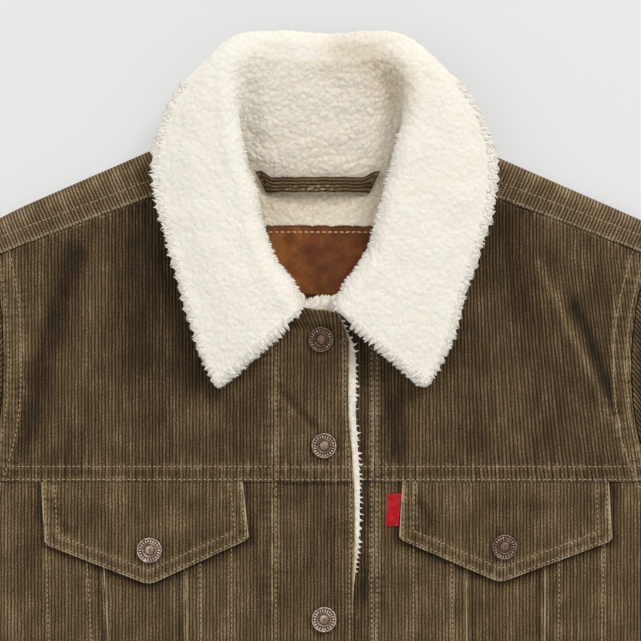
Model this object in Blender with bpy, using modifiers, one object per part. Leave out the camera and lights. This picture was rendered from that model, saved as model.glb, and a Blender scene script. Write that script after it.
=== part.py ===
"""Sherpa lined corduroy jacket, buttoned to the neck and laid flat on its back.

Frame: the floor is z = 0, +X is the viewer's right, +Y runs from hem to collar and +Z is up.
The origin is under the middle of the whole jacket. Sizes are in millimetres, and each mesh is
scaled to metres as it is written. Left and right are the viewer's. On the plan, y = 0 is the
height of the shoulder points beside the neck.

Every cloth piece is a grid with two faces, an under face and an over face, that are functions of
the place (u, v) on the grid. Layers, from the floor up: back shell, back lining, front lining,
front shell, and at the middle the overlapping placket.
"""

import math

import bmesh
import bpy
from mathutils import Vector

MM = 0.001
LEFT, RIGHT = -1, 1
SIDES = {"left": LEFT, "right": RIGHT}
PLAN_MIDDLE_Y = -245.8

# Layers.
SEAM = 0.3
CLOTH = 1.5
BACK_PILE = 6.0
FRONT_PILE = 6.0
TROUGH_DEPTH = 2.0
BACK_LINING_BOTTOM = CLOTH + SEAM
BACK_LINING_TOP = BACK_LINING_BOTTOM + BACK_PILE
FRONT_LINING_BOTTOM = BACK_LINING_TOP + SEAM
FRONT_LINING_TOP = FRONT_LINING_BOTTOM + FRONT_PILE
FRONT_TOP = FRONT_LINING_TOP + TROUGH_DEPTH + SEAM + CLOTH
SLEEVE_WALL = 5.0
SLEEVE_TOP = 2 * SLEEVE_WALL + SEAM
SLEEVE_EDGE = 0.8
SLEEVE_ROUND = 20.0

# Body plan.
NECK_HALF = 78.0
BACK_NECK_Y = -28.0
NECK_SIDE_Y = -7.0
FRONT_NECK_DEPTH = 84.0
YOKE_NECK_Y = -27.0
SHOULDER_X, SHOULDER_Y, SHOULDER_SLOPE = 112.0, -12.0, 0.436
YOKE_SEAM_SLOPE = 0.376
SHOULDER_ROUND = 9.0
SHOULDER_TIP_X = 222.0
BACK_YOKE_Y = -150.0
CHEST_Y = -226.0
UNDERARM_X, UNDERARM_Y = 254.0, -268.0
HEM_X = 231.0
WAIST_Y, HEM_Y = -512.0, -560.0
BAND_WALL = 3.0
BAND_TOP = 2 * BAND_WALL + SEAM
SIDE_EDGE_TOP = 2 * CLOTH + SEAM
EDGE_FALL = 30.0
HEM_FALL = 42.0
LINING_INSET = 20.0
LINING_HEM_INSET = 44.0
LINING_SLACK = 2.7

# Armhole seam, from the underarm up: y, x.
ARMHOLE = [
    (-268.0, 254.0),
    (-254.0, 240.5),
    (-240.0, 229.0),
    (-226.0, 220.0),
    (-190.0, 209.0),
    (-150.0, 206.0),
    (-115.0, 208.0),
    (-85.0, 214.0),
    (-59.0, 222.0),
]
ARMHOLE_SHIFT = {LEFT: 4.0, RIGHT: -3.0}

# Panel seams below the chest, on each side: x at the chest seam, x at the waistband.
CENTER_SEAM = {LEFT: (-90.5, -88.0), RIGHT: (93.5, 98.0)}
MIDDLE_SEAM = {LEFT: (-147.0, -130.0), RIGHT: (145.5, 142.0)}

# Button plackets.
PLACKET_SEAM = {LEFT: -32.0, RIGHT: 34.0}
UNDER_PLACKET_EDGE = -11.0
PLACKET_LIFT = 4.5
PLACKET_RAMP = 17.0
LINING_RAMP = 20.0
PLACKET_CORNER_X, PLACKET_CORNER_DROP = 7.5, 2.5
# Front edge of the upper placket, from the hem up: y, x, width of the pile that shows past it.
PLACKET_EDGE = [
    (-560.0, 20.0, -4.0),
    (-400.0, 20.0, -3.0),
    (-329.0, 20.0, -2.0),
    (-294.0, 19.6, 0.8),
    (-265.0, 20.8, 3.5),
    (-238.0, 20.8, 5.0),
    (-215.0, 19.8, 6.0),
    (-179.0, 17.0, 6.8),
    (-150.0, 17.0, 6.6),
    (-132.0, 16.4, 5.6),
    (-112.0, 7.5, 3.0),
]

# Pocket flaps: x of the outer and inner ends at the seam, the two corners and the point.
FLAPS = {
    LEFT: {
        "top": (-184.0, -52.0),
        "outer": (-181.0, -266.5),
        "tip": (-113.0, -293.0),
        "inner": (-48.0, -263.0),
    },
    RIGHT: {
        "top": (187.0, 52.0),
        "outer": (189.0, -264.0),
        "tip": (116.0, -291.5),
        "inner": (50.0, -263.0),
    },
}
FLAP_WALL = 2.0
FLAP_CURL = 1.5

# Folds of the fronts: x0, y0, x1, y1, height, half width.
FOLDS = [
    (154.0, -108.0, 190.0, -184.0, 6.0, 9.0),
    (174.0, -98.0, 200.0, -158.0, -2.0, 9.0),
    (-168.0, -104.0, -192.0, -196.0, -2.0, 12.0),
    (-146.0, -100.0, -158.0, -190.0, 1.6, 14.0),
    (124.0, -56.0, 128.0, -136.0, -1.6, 12.0),
]

# Sleeves: the outer edge from below the shoulder point to the cuff, and the inner edge from below
# the underarm.
SLEEVE_OUTER = [(275.0, -81.0), (334.0, -114.0), (386.0, -168.0), (485.0, -305.0), (583.0, -443.0)]
SLEEVE_INNER = [(284.0, -300.0), (372.0, -390.0), (488.0, -512.0)]
CUFF_LENGTH = 55.0
CUFF_WALL = 4.0
CUFF_START, CUFF_END = 64.0, 92.0

# Collar, from the middle of the back to the front end: share of the neck seam, x and y of the
# fold's inner side, x and y of the outer edge, height of the fold and of the outer edge. The back
# stands open, and each side folds down from the shoulder to the front.
COLLAR_BACK = (0.0, 0.0, 50.0, 0.0, 70.0, 29.0, 27.0)
COLLAR_STATIONS = {
    LEFT: [
        (0.12, 27.0, 50.0, 28.0, 71.0, 32.0, 30.0),
        (0.19, 44.0, 51.0, 48.0, 68.0, 36.0, 32.0),
        (0.25, 53.0, 43.0, 68.0, 55.0, 39.0, 34.0),
        (0.32, 54.5, 28.0, 84.0, 39.0, 40.0, 34.0),
        (0.40, 53.0, 8.0, 100.0, 18.0, 40.0, 32.5),
        (0.48, 49.0, -14.0, 110.5, -12.0, 40.0, 31.0),
        (0.57, 42.0, -36.0, 109.5, -42.0, 39.0, 30.5),
        (0.66, 38.0, -58.0, 100.5, -74.0, 38.0, 30.0),
        (0.76, 31.0, -80.0, 90.5, -107.0, 37.0, 29.0),
        (0.88, 18.5, -97.5, 79.5, -142.0, 36.0, 28.0),
        (1.0, 12.0, -113.0, 68.0, -165.0, 34.5, 26.0),
    ],
    RIGHT: [
        (0.12, 27.0, 50.0, 28.0, 71.0, 32.0, 30.0),
        (0.19, 42.0, 51.0, 49.0, 68.0, 36.0, 32.0),
        (0.25, 50.0, 43.0, 69.0, 53.0, 39.0, 34.0),
        (0.32, 52.0, 28.0, 85.0, 37.0, 40.0, 34.0),
        (0.40, 51.5, 8.0, 101.0, 16.0, 40.0, 32.5),
        (0.48, 46.0, -15.0, 111.5, -12.0, 40.0, 31.0),
        (0.57, 40.0, -38.0, 112.0, -40.0, 39.0, 30.5),
        (0.66, 34.5, -58.0, 104.0, -70.0, 38.0, 30.0),
        (0.76, 29.0, -77.0, 93.0, -102.0, 37.0, 29.0),
        (0.88, 16.5, -94.5, 82.5, -138.0, 36.0, 28.0),
        (1.0, 6.5, -112.0, 67.0, -165.0, 34.5, 26.0),
    ],
}
COLLAR_PILE = 6.5
FOLD_RADIUS, FLAT_RADIUS = 4.5, 8.0
FOLD_SHARES = (0.14, 0.34)
STAND_RISE = (0.28, 0.47)
STAND_ROWS, FOLD_ROWS, LEAF_ROWS = 3, 5, 4
LEAF_BULGE = 2.0
NECK_END_X = {LEFT: 13.0, RIGHT: 7.0}
EDGE_INSET = 3.0
STAND_BASE = 0.6
STAND_INSET = 2.4
NECK_GAP = 1.2
LINING_NECK_GAP = 3.2

# Trims.
LOOP_HALF, LOOP_WIDTH, LOOP_Y, LOOP_RISE = 44.0, 9.0, -31.5, 7.0
PATCH_X, PATCH_Y = (-43.0, 39.0), (-105.0, -58.0)
TAB_X, TAB_Y, TAB_WALL = (41.0, 49.4), (-254.0, -233.0), 0.8

# Tack buttons: radius and height down the turned profile, from the middle of the top.
BUTTON_PROFILE = [
    (0.0, 3.7),
    (3.2, 3.4),
    (5.4, 2.3),
    (6.6, 2.9),
    (8.2, 2.3),
    (8.5, 1.2),
    (7.4, 0.0),
    (0.0, 0.0),
]
BUTTON_STEPS = 14
FRONT_BUTTONS = [(-1.0, -133.0), (1.0, -202.0), (1.0, -315.0), (1.0, -427.0), (1.0, -536.0)]
FLAP_BUTTONS = {"left": (-112.6, -270.0), "right": (118.5, -268.0)}
CUFF_BUTTON_ACROSS = 82.0

# Colour, roughness and metallic value of each material.
FINISHES = {
    "corduroy": ((0.098, 0.066, 0.033), 0.9, 0.0),
    "sherpa": ((0.82, 0.78, 0.70), 1.0, 0.0),
    "leather": ((0.14, 0.055, 0.02), 0.6, 0.0),
    "copper": ((0.17, 0.10, 0.07), 0.4, 0.9),
    "ribbon": ((0.62, 0.03, 0.05), 0.7, 0.0),
}


def lerp(a, b, t):
    return a + (b - a) * t


def clamp(t):
    return min(max(t, 0.0), 1.0)


def smoothstep(t):
    t = clamp(t)
    return t * t * (3.0 - 2.0 * t)


def quarter_sine(t):
    return math.sin(0.5 * math.pi * clamp(t))


def row_at(rows, key):
    """The other columns of a table at a value of its first column, on a smooth curve through the rows."""
    last = len(rows) - 1
    key = min(max(key, rows[0][0]), rows[last][0])
    i = max(j for j in range(last) if rows[j][0] <= key)
    span = rows[i + 1][0] - rows[i][0]
    t = (key - rows[i][0]) / span

    def slope(j, column):
        low, high = max(j - 1, 0), min(j + 1, last)
        return (rows[high][column] - rows[low][column]) / (rows[high][0] - rows[low][0])

    values = []
    for column in range(1, len(rows[0])):
        start, end = rows[i][column], rows[i + 1][column]
        change = (slope(i, column) * t * (1.0 - t) ** 2 - slope(i + 1, column) * t * t * (1.0 - t)) * span
        values.append(lerp(start, end, smoothstep(t)) + change)
    return values


def along(points):
    """A smooth curve through plan points, as a function of the share of its length."""
    rows = [(0.0, *points[0])]
    for a, b in zip(points, points[1:]):
        rows.append((rows[-1][0] + math.dist(a, b), *b))
    return lambda t: Vector(row_at(rows, t * rows[-1][0]))


def patch(low, high, start, end):
    """The plan of a four-sided panel: u runs along low and high, and v along start and end."""

    def plan(u, v):
        across = low(u).lerp(high(u), v) + start(v).lerp(end(v), u)
        corners = low(0).lerp(low(1), u).lerp(high(0).lerp(high(1), u), v)
        return across - corners

    return plan


# ---- The body's plan and heights ----


def side_x(side, y):
    """Distance from the middle to the armhole seam, or below the underarm to the side seam."""
    if y < UNDERARM_Y:
        return lerp(UNDERARM_X, HEM_X, clamp((UNDERARM_Y - y) / (UNDERARM_Y - WAIST_Y)))
    share = clamp((y - UNDERARM_Y) / (ARMHOLE[-1][0] - UNDERARM_Y))
    return row_at(ARMHOLE, y)[0] + ARMHOLE_SHIFT[side] * math.sin(math.pi * share)


def shoulder_y(x):
    return SHOULDER_Y - SHOULDER_SLOPE * (abs(x) - SHOULDER_X)


def yoke_seam_y(x):
    return YOKE_NECK_Y - YOKE_SEAM_SLOPE * (abs(x) - NECK_HALF)


def back_neck_y(x):
    return lerp(BACK_NECK_Y, NECK_SIDE_Y, clamp(abs(x) / NECK_HALF) ** 2.4)


def front_neck_y(x):
    return YOKE_NECK_Y - FRONT_NECK_DEPTH * math.sqrt(max(1.0 - (x / NECK_HALF) ** 2, 0.0))


def fold_height(x, y):
    total = 0.0
    for x0, y0, x1, y1, height, half_width in FOLDS:
        start, run = Vector((x0, y0)), Vector((x1 - x0, y1 - y0))
        t = clamp((Vector((x, y)) - start).dot(run) / run.length_squared)
        distance = (start + run * t - Vector((x, y))).length
        total += height * math.exp(-((distance / half_width) ** 2))
    return max(total, -TROUGH_DEPTH)


def fullness(x, y):
    """0 at the side seam, armhole and hem, and 1 where the front lies on the whole lining."""
    side = LEFT if x < 0 else RIGHT
    inside = side_x(side, y) - abs(x)
    return quarter_sine(inside / EDGE_FALL) * quarter_sine((y - WAIST_Y) / HEM_FALL)


def front_level(x, y):
    """Height of the front shell's outer face without its folds."""
    edge = lerp(SLEEVE_TOP, SIDE_EDGE_TOP, smoothstep((UNDERARM_Y + 12.0 - y) / 34.0))
    side = LEFT if x < 0 else RIGHT
    near_hem = 1.0 - quarter_sine((y - WAIST_Y) / HEM_FALL)
    from_side = quarter_sine((side_x(side, y) - abs(x)) / EDGE_FALL)
    edge = lerp(edge, BAND_TOP, near_hem * from_side)
    return lerp(edge, FRONT_TOP, fullness(x, y))


def front_top(x, y):
    """Height of the front shell's outer face."""
    return front_level(x, y) + fold_height(x, y) * fullness(x, y)


def placket_lift(x):
    """Rise of the viewer's left front where it passes over the other one."""
    return PLACKET_LIFT * smoothstep((x - PLACKET_SEAM[LEFT]) / PLACKET_RAMP)


def resting_top(x):
    """Top of what the collar lies on."""
    fall = smoothstep((PLACKET_SEAM[RIGHT] + 4.0 - x) / 16.0)
    return FRONT_TOP + placket_lift(x) * fall


# ---- Making objects ----


def empty_scene():
    for item in list(bpy.data.objects):
        bpy.data.objects.remove(item, do_unlink=True)


def make_materials():
    made = {}
    for name, (color, roughness, metallic) in FINISHES.items():
        material = bpy.data.materials.new(name)
        material.use_nodes = True
        shader = material.node_tree.nodes["Principled BSDF"]
        shader.inputs["Base Color"].default_value = (*color, 1.0)
        shader.inputs["Roughness"].default_value = roughness
        shader.inputs["Metallic"].default_value = metallic
        made[name] = material
    return made


def place(point):
    return Vector((point[0], point[1] - PLAN_MIDDLE_Y, point[2])) * MM


def add_object(name, mesh, finish):
    item = bpy.data.objects.new(name, mesh)
    item.data.materials.append(MATERIALS[finish])
    JACKET.objects.link(item)
    return item


def cloth(name, columns, rows, faces, finish, missing=None):
    """A closed cloth piece between faces[0](u, v) below and faces[1](u, v) above.

    missing(u, v) is true at the middle of each grid face that is cut away.
    """
    under_face, over_face = faces
    work = bmesh.new()
    bmesh.ops.create_grid(work, x_segments=columns, y_segments=rows, size=0.5)
    if missing:
        middles = {face: face.calc_center_median() for face in work.faces}
        gone = [face for face, middle in middles.items() if missing(middle.x + 0.5, middle.y + 0.5)]
        bmesh.ops.delete(work, geom=gone, context="FACES")
    bottom = list(work.verts)
    raised = bmesh.ops.extrude_face_region(work, geom=list(work.faces), use_keep_orig=True)
    top = [item for item in raised["geom"] if isinstance(item, bmesh.types.BMVert)]
    for vertices, face in ((bottom, under_face), (top, over_face)):
        for vertex in vertices:
            vertex.co = place(face(vertex.co.x + 0.5, vertex.co.y + 0.5))
    bmesh.ops.recalc_face_normals(work, faces=list(work.faces))
    mesh = bpy.data.meshes.new(name)
    work.to_mesh(mesh)
    work.free()
    mesh.shade_smooth()
    mesh.set_sharp_from_angle(angle=math.radians(50.0))
    return add_object(name, mesh, finish)


def laid(plan, bottom, top):
    """Faces of a piece laid flat: bottom(x, y) and top(x, y) are heights over its plan."""

    def under(u, v):
        x, y = plan(u, v)
        return Vector((x, y, bottom(x, y)))

    def over(u, v):
        x, y = plan(u, v)
        return Vector((x, y, top(x, y)))

    return under, over


def shell(plan, top, wall=CLOTH):
    return laid(plan, lambda x, y: top(x, y) - wall, top)


def even(t):
    return t


def column_plan(left, right, low_y, high_y, columns=even, rows=even):
    """Plan of a panel whose columns run up it: left(y) and right(y) are x, low_y(x) and high_y(x) are y.
    columns and rows space the grid's lines."""
    low_left, low_right = left(low_y(0.0)), right(low_y(0.0))

    def plan(u, v):
        u, v = columns(u), rows(v)
        guess = lerp(low_left, low_right, u)
        y = lerp(low_y(guess), high_y(guess), v)
        x = lerp(left(y), right(y), u)
        y = lerp(low_y(x), high_y(x), v)
        return x, y

    return plan


# ---- Back and yoke ----


def build_back():
    rows, hem_rows = 14, 5
    break_share = (UNDERARM_Y - WAIST_Y) / (BACK_YOKE_Y - WAIST_Y)

    def row_spacing(v):
        if v * rows <= hem_rows:
            return break_share * v * rows / hem_rows
        return lerp(break_share, 1.0, (v * rows - hem_rows) / (rows - hem_rows))

    plan = column_plan(
        lambda y: -side_x(LEFT, y) + SEAM,
        lambda y: side_x(RIGHT, y) - SEAM,
        lambda x: WAIST_Y + SEAM,
        lambda x: BACK_YOKE_Y - SEAM,
        rows=row_spacing,
    )
    cloth("back_panel", 8, rows, laid(plan, lambda x, y: 0.0, lambda x, y: CLOTH), "corduroy")


def yoke_faces(columns_share, turn_share):
    """Faces of the yoke. Columns cross both shoulders, with the neck between the two shares of
    columns_share. Rows run from the front seams, round the shoulders at turn_share, to the back seam."""
    neck_start, neck_end = columns_share
    front_share, wrap_share = turn_share

    def plan_x(u, y):
        if u < neck_start:
            return -lerp(side_x(LEFT, y) - SEAM, NECK_HALF, u / neck_start)
        if u > neck_end:
            return lerp(NECK_HALF, side_x(RIGHT, y) - SEAM, (u - neck_end) / (1.0 - neck_end))
        return lerp(-NECK_HALF, NECK_HALF, (u - neck_start) / (neck_end - neck_start))

    def face(inset):
        def point(u, v):
            tip_seam = yoke_seam_y(SHOULDER_TIP_X)
            tip_fold = shoulder_y(SHOULDER_TIP_X) - SHOULDER_ROUND
            if v <= front_share:
                share = v / front_share
                x = plan_x(u, lerp(tip_seam, tip_fold, share))
                fold = shoulder_y(x) - SHOULDER_ROUND
                return Vector((x, lerp(yoke_seam_y(x) + SEAM, fold, share), front_top(x, fold) - inset))
            x = plan_x(u, tip_fold)
            fold = shoulder_y(x) - SHOULDER_ROUND
            half = 0.5 * front_top(x, fold)
            if v <= wrap_share:
                angle = math.pi * (v - front_share) / (wrap_share - front_share)
                out = (SHOULDER_ROUND - inset) * math.sin(angle)
                return Vector((x, fold + out, half + (half - inset) * math.cos(angle)))
            share = (v - wrap_share) / (1.0 - wrap_share)
            x = plan_x(u, lerp(tip_fold, BACK_YOKE_Y, share))
            start = back_neck_y(x) - NECK_GAP if abs(x) < NECK_HALF else shoulder_y(x) - SHOULDER_ROUND
            return Vector((x, lerp(start, BACK_YOKE_Y, share), inset))

        return point

    return face(CLOTH), face(0.0)


def build_yoke():
    shoulder, neck, front, wrap, back = 6, 8, 2, 6, 4
    columns, rows = 2 * shoulder + neck, front + wrap + back
    columns_share = (shoulder / columns, (shoulder + neck) / columns)
    turn_share = (front / rows, (front + wrap) / rows)

    def neck_hole(u, v):
        return columns_share[0] < u < columns_share[1] and v < turn_share[1]

    cloth("back_yoke", columns, rows, yoke_faces(columns_share, turn_share), "corduroy", neck_hole)


# ---- Fronts ----


def build_chests():
    neck_columns, columns = 5, 14

    for name, side in SIDES.items():
        seam_x = PLACKET_SEAM[side] + side * SEAM
        start_angle = math.acos(abs(seam_x) / NECK_HALF)
        high_y = ARMHOLE[-1][0] - (SHOULDER_Y - YOKE_NECK_Y)
        armhole_top = Vector((side * (side_x(side, high_y) - SEAM), yoke_seam_y(side_x(side, high_y)) - SEAM))
        neck_corner = Vector((side * NECK_HALF, YOKE_NECK_Y - SEAM))

        def high(u, side=side, start=start_angle, corner=neck_corner, end=armhole_top):
            if u * columns <= neck_columns:
                angle = start * (1.0 - u * columns / neck_columns)
                x = NECK_HALF * math.cos(angle)
                return Vector((side * x, front_neck_y(x) - SEAM))
            return corner.lerp(end, (u * columns - neck_columns) / (columns - neck_columns))

        def armhole(v, side=side, end=armhole_top):
            y = lerp(CHEST_Y + SEAM, end.y, v)
            return Vector((side * (side_x(side, y) - SEAM), y))

        low_start, low_end = Vector((seam_x, CHEST_Y + SEAM)), armhole(0.0)
        plan = patch(
            lambda u: low_start.lerp(low_end, u),
            high,
            lambda v: low_start.lerp(high(0.0), v),
            armhole,
        )
        cloth("chest_" + name, columns, 10, shell(plan, front_top), "corduroy")


def build_lower_fronts():
    rows, hem_rows = 10, 7
    break_share = (UNDERARM_Y - WAIST_Y) / (CHEST_Y - WAIST_Y)

    def row_spacing(v):
        if v * rows <= hem_rows:
            return break_share * (v * rows / hem_rows) ** 1.3
        return lerp(break_share, 1.0, (v * rows - hem_rows) / (rows - hem_rows))

    def seam_x(pair, y):
        return lerp(pair[0], pair[1], clamp((CHEST_Y - y) / (CHEST_Y - WAIST_Y)))

    for name, side in SIDES.items():
        lines = [
            lambda y, s=side: PLACKET_SEAM[s],
            lambda y, s=side: seam_x(CENTER_SEAM[s], y),
            lambda y, s=side: seam_x(MIDDLE_SEAM[s], y),
            lambda y, s=side: s * side_x(s, y),
        ]
        for i, panel in enumerate(("front_center_", "front_middle_", "front_side_")):
            inner, outer = lines[i], lines[i + 1]
            edges = [
                lambda y, line=outer, s=side: line(y) - s * SEAM,
                lambda y, line=inner, s=side: line(y) + s * SEAM,
            ]
            plan = column_plan(
                *(edges if side == LEFT else reversed(edges)),
                lambda x: WAIST_Y + SEAM,
                lambda x: CHEST_Y - SEAM,
                rows=row_spacing,
            )
            cloth(panel + name, 7 if i == 2 else 3, rows, shell(plan, front_top), "corduroy")


def placket_edge(y):
    return row_at(PLACKET_EDGE, y)


def placket_top_y(x):
    return front_neck_y(x) - PLACKET_CORNER_DROP * smoothstep(x / PLACKET_CORNER_X)


def build_plackets():
    over_plan = column_plan(
        lambda y: PLACKET_SEAM[LEFT] + SEAM,
        lambda y: placket_edge(y)[0],
        lambda x: WAIST_Y + SEAM,
        lambda x: placket_top_y(min(x, PLACKET_CORNER_X)),
    )
    over = shell(over_plan, lambda x, y: front_top(x, y) + placket_lift(x))
    cloth("placket_over", 8, 18, over, "corduroy")
    under_plan = column_plan(
        lambda y: UNDER_PLACKET_EDGE,
        lambda y: PLACKET_SEAM[RIGHT] - SEAM,
        lambda x: WAIST_Y + SEAM,
        lambda x: front_neck_y(x) - SEAM,
    )
    cloth("placket_under", 4, 10, shell(under_plan, front_top), "corduroy")


def build_flaps():
    for name, side in SIDES.items():
        flap = FLAPS[side]
        outer_x, inner_x = flap["top"]
        outer, tip, inner = (Vector(flap[k]) for k in ("outer", "tip", "inner"))
        top_y = CHEST_Y - SEAM

        def lower(u):
            return outer.lerp(tip, 2.0 * u) if u < 0.5 else tip.lerp(inner, 2.0 * u - 1.0)

        def plan(u, v):
            top = Vector((lerp(outer_x, inner_x, u), top_y))
            return lower(u).lerp(top, v)

        def rise(v):
            return FLAP_CURL * (1.0 - v) ** 2

        def bottom(u, v):
            x, y = plan(u, v)
            return Vector((x, y, front_top(x, y) + SEAM + rise(v)))

        def top(u, v):
            return bottom(u, v) + Vector((0.0, 0.0, FLAP_WALL))

        cloth("flap_" + name, 10, 5, (bottom, top), "corduroy")


# ---- Linings ----


def lining_neck_y(x):
    """Top edge of the front linings, a little outside the neck seam."""
    if abs(x) < 92.0:
        return -38.0 - 76.0 * (1.0 - (x / 92.0) ** 4)
    return yoke_seam_y(x) - 6.0


def build_linings():
    def back_top_y(x):
        behind_collar = smoothstep((abs(x) - 42.0) / 14.0)
        neck = back_neck_y(x) - LINING_NECK_GAP
        side = min(-38.0, shoulder_y(x) - LINING_INSET)
        return lerp(neck, side, behind_collar)

    back_plan = column_plan(
        lambda y: LINING_INSET - side_x(LEFT, y),
        lambda y: side_x(RIGHT, y) - LINING_INSET,
        lambda x: WAIST_Y + LINING_HEM_INSET,
        back_top_y,
    )
    back = laid(back_plan, lambda x, y: BACK_LINING_BOTTOM, lambda x, y: BACK_LINING_TOP)
    cloth("back_lining", 24, 8, back, "sherpa")

    def flat_bottom(x, y):
        return FRONT_LINING_BOTTOM

    def flat_top(x, y):
        return front_level(x, y) - CLOTH - LINING_SLACK

    def left_bottom(x, y):
        ramp = smoothstep((x - UNDER_PLACKET_EDGE + 5.0 + LINING_RAMP) / LINING_RAMP)
        return lerp(FRONT_LINING_BOTTOM, front_level(x, y) + 2.0 * SEAM, ramp)

    def left_top(x, y):
        placket_bottom = front_level(x, y) + placket_lift(x) - CLOTH
        under_placket = smoothstep((x - PLACKET_SEAM[LEFT] + 3.0) / 14.0)
        return lerp(flat_top(x, y), placket_bottom - 2.0 * SEAM, under_placket)

    left_plan = column_plan(
        lambda y: LINING_INSET - side_x(LEFT, y),
        lambda y: placket_edge(y)[0] + placket_edge(y)[1],
        lambda x: WAIST_Y + LINING_HEM_INSET,
        lining_neck_y,
        columns=lambda u: 1.0 - (1.0 - u) ** 1.5,
    )
    cloth("front_lining_left", 20, 9, laid(left_plan, left_bottom, left_top), "sherpa")
    right_plan = column_plan(
        lambda y: UNDER_PLACKET_EDGE + 6.0,
        lambda y: side_x(RIGHT, y) - LINING_INSET,
        lambda x: WAIST_Y + LINING_HEM_INSET,
        lining_neck_y,
    )
    cloth("front_lining_right", 14, 9, laid(right_plan, flat_bottom, flat_top), "sherpa")


# ---- Sleeves, cuffs and waistband ----


def sleeve_frame(side):
    """The sleeve's plan, its far corners, and the directions along and across the cuff."""
    low, high = UNDERARM_Y, ARMHOLE[-1][0]

    def armhole(t):
        y = lerp(high, low, t)
        return Vector((side * (side_x(side, y) + 2.0 * SEAM), y))

    outer = along([armhole(0.0), *[(side * x, y) for x, y in SLEEVE_OUTER]])
    inner = along([armhole(1.0), *[(side * x, y) for x, y in SLEEVE_INNER]])
    across = inner(1.0) - outer(1.0)
    plan = patch(armhole, lambda t: outer(1.0).lerp(inner(1.0), t), outer, inner)
    along_arm = Vector((-across.y, across.x)).normalized() * side
    return plan, outer(1.0), across, along_arm


def build_sleeves():
    for name, side in SIDES.items():
        plan, _, _, _ = sleeve_frame(side)

        def loft(u, v):
            width = (plan(1.0, v) - plan(0.0, v)).length
            return quarter_sine(width * min(u, 1.0 - u) / SLEEVE_ROUND)

        def top(u, v):
            rise = lerp(SLEEVE_EDGE, SLEEVE_WALL, loft(u, v))
            return Vector((*plan(u, v), SLEEVE_WALL + SEAM + rise))

        def above_seam(u, v):
            return Vector((*plan(u, v), SLEEVE_WALL + SEAM))

        def below_seam(u, v):
            return Vector((*plan(u, v), SLEEVE_WALL))

        def bottom(u, v):
            drop = lerp(SLEEVE_EDGE, SLEEVE_WALL, loft(u, v))
            return Vector((*plan(u, v), SLEEVE_WALL - drop))

        cloth("sleeve_upper_" + name, 14, 8, (above_seam, top), "corduroy")
        cloth("sleeve_under_" + name, 14, 6, (bottom, below_seam), "corduroy")


def band_path(low, high, start, end, wall, ramp):
    """Middle line of a flattened band, as (across, height) points. It starts on top at start, goes
    round by high and low, and ends on top at end, lying on its own beginning."""
    half = 0.5 * wall
    top = 1.5 * wall + SEAM
    turn = half + 0.5 * (wall + SEAM)
    steps = 6
    points = [Vector((lerp(start, high - turn, k / 5), top)) for k in range(5)]
    for k in range(steps + 1):
        angle = math.pi * k / steps
        offset = Vector((math.sin(angle) * (turn - half), math.cos(angle) * 0.5 * (wall + SEAM)))
        points.append(Vector((high - turn, 0.5 * (top + half))) + offset)
    points += [Vector((lerp(high - turn, low + turn, k / 8), half)) for k in range(1, 8)]
    for k in range(steps + 1):
        angle = math.pi * (1.0 + k / steps)
        offset = Vector((math.sin(angle) * (turn - half), math.cos(angle) * 0.5 * (wall + SEAM)))
        points.append(Vector((low + turn, 0.5 * (top + half))) + offset)
    across = [lerp(low + turn, start - ramp, k / 4) for k in range(1, 5)]
    across += [lerp(start - ramp, start, k / 5) for k in range(1, 6)]
    across += [lerp(start, end, k / 3) for k in range(1, 4)]
    for x in across:
        climb = (wall + SEAM) * smoothstep((x - start + ramp) / (ramp - 1.0))
        points.append(Vector((x, top + climb)))
    return points


def band_faces(path, wall, to_plan):
    """Faces of a band that follows path. to_plan(across, v) is its place on the plan."""
    last = len(path) - 1

    def face(offset):
        def point(u, v):
            i = round(u * last)
            run = (path[min(i + 1, last)] - path[max(i - 1, 0)]).normalized()
            spot = path[i] + Vector((-run.y, run.x)) * offset
            return Vector((*to_plan(spot.x, v), spot.y))

        return point

    return face(-0.5 * wall), face(0.5 * wall)


def build_waistband():
    path = band_path(-HEM_X, HEM_X, UNDER_PLACKET_EDGE, placket_edge(HEM_Y)[0], BAND_WALL, PLACKET_RAMP)
    faces = band_faces(path, BAND_WALL, lambda across, v: (across, lerp(HEM_Y, WAIST_Y, v)))
    cloth("waistband", len(path) - 1, 1, faces, "corduroy")


def build_cuffs():
    for name, side in SIDES.items():
        _, corner, across, along_arm = sleeve_frame(side)
        width = across.length
        direction = across / width
        path = band_path(0.0, width, CUFF_START, CUFF_END, CUFF_WALL, 12.0)

        def to_plan(distance, v):
            return corner + direction * distance + along_arm * lerp(SEAM, CUFF_LENGTH, v)

        cloth("cuff_" + name, len(path) - 1, 1, band_faces(path, CUFF_WALL, to_plan), "corduroy")


# ---- Collar ----


def neck_seam(side):
    """The neck seam on one side, from the middle of the back to the front end, as a function of the
    share of its length."""
    steps = 24
    half = NECK_HALF - STAND_INSET
    points = [(half * k / steps, back_neck_y(half * k / steps)) for k in range(steps + 1)]
    end_angle = math.acos(NECK_END_X[side] / half)
    for k in range(steps + 1):
        angle = end_angle * k / steps
        y = front_neck_y(NECK_HALF * math.cos(angle)) + STAND_INSET * math.sin(angle)
        points.append((half * math.cos(angle), y))
    return along([(side * x, y) for x, y in points])


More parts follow.
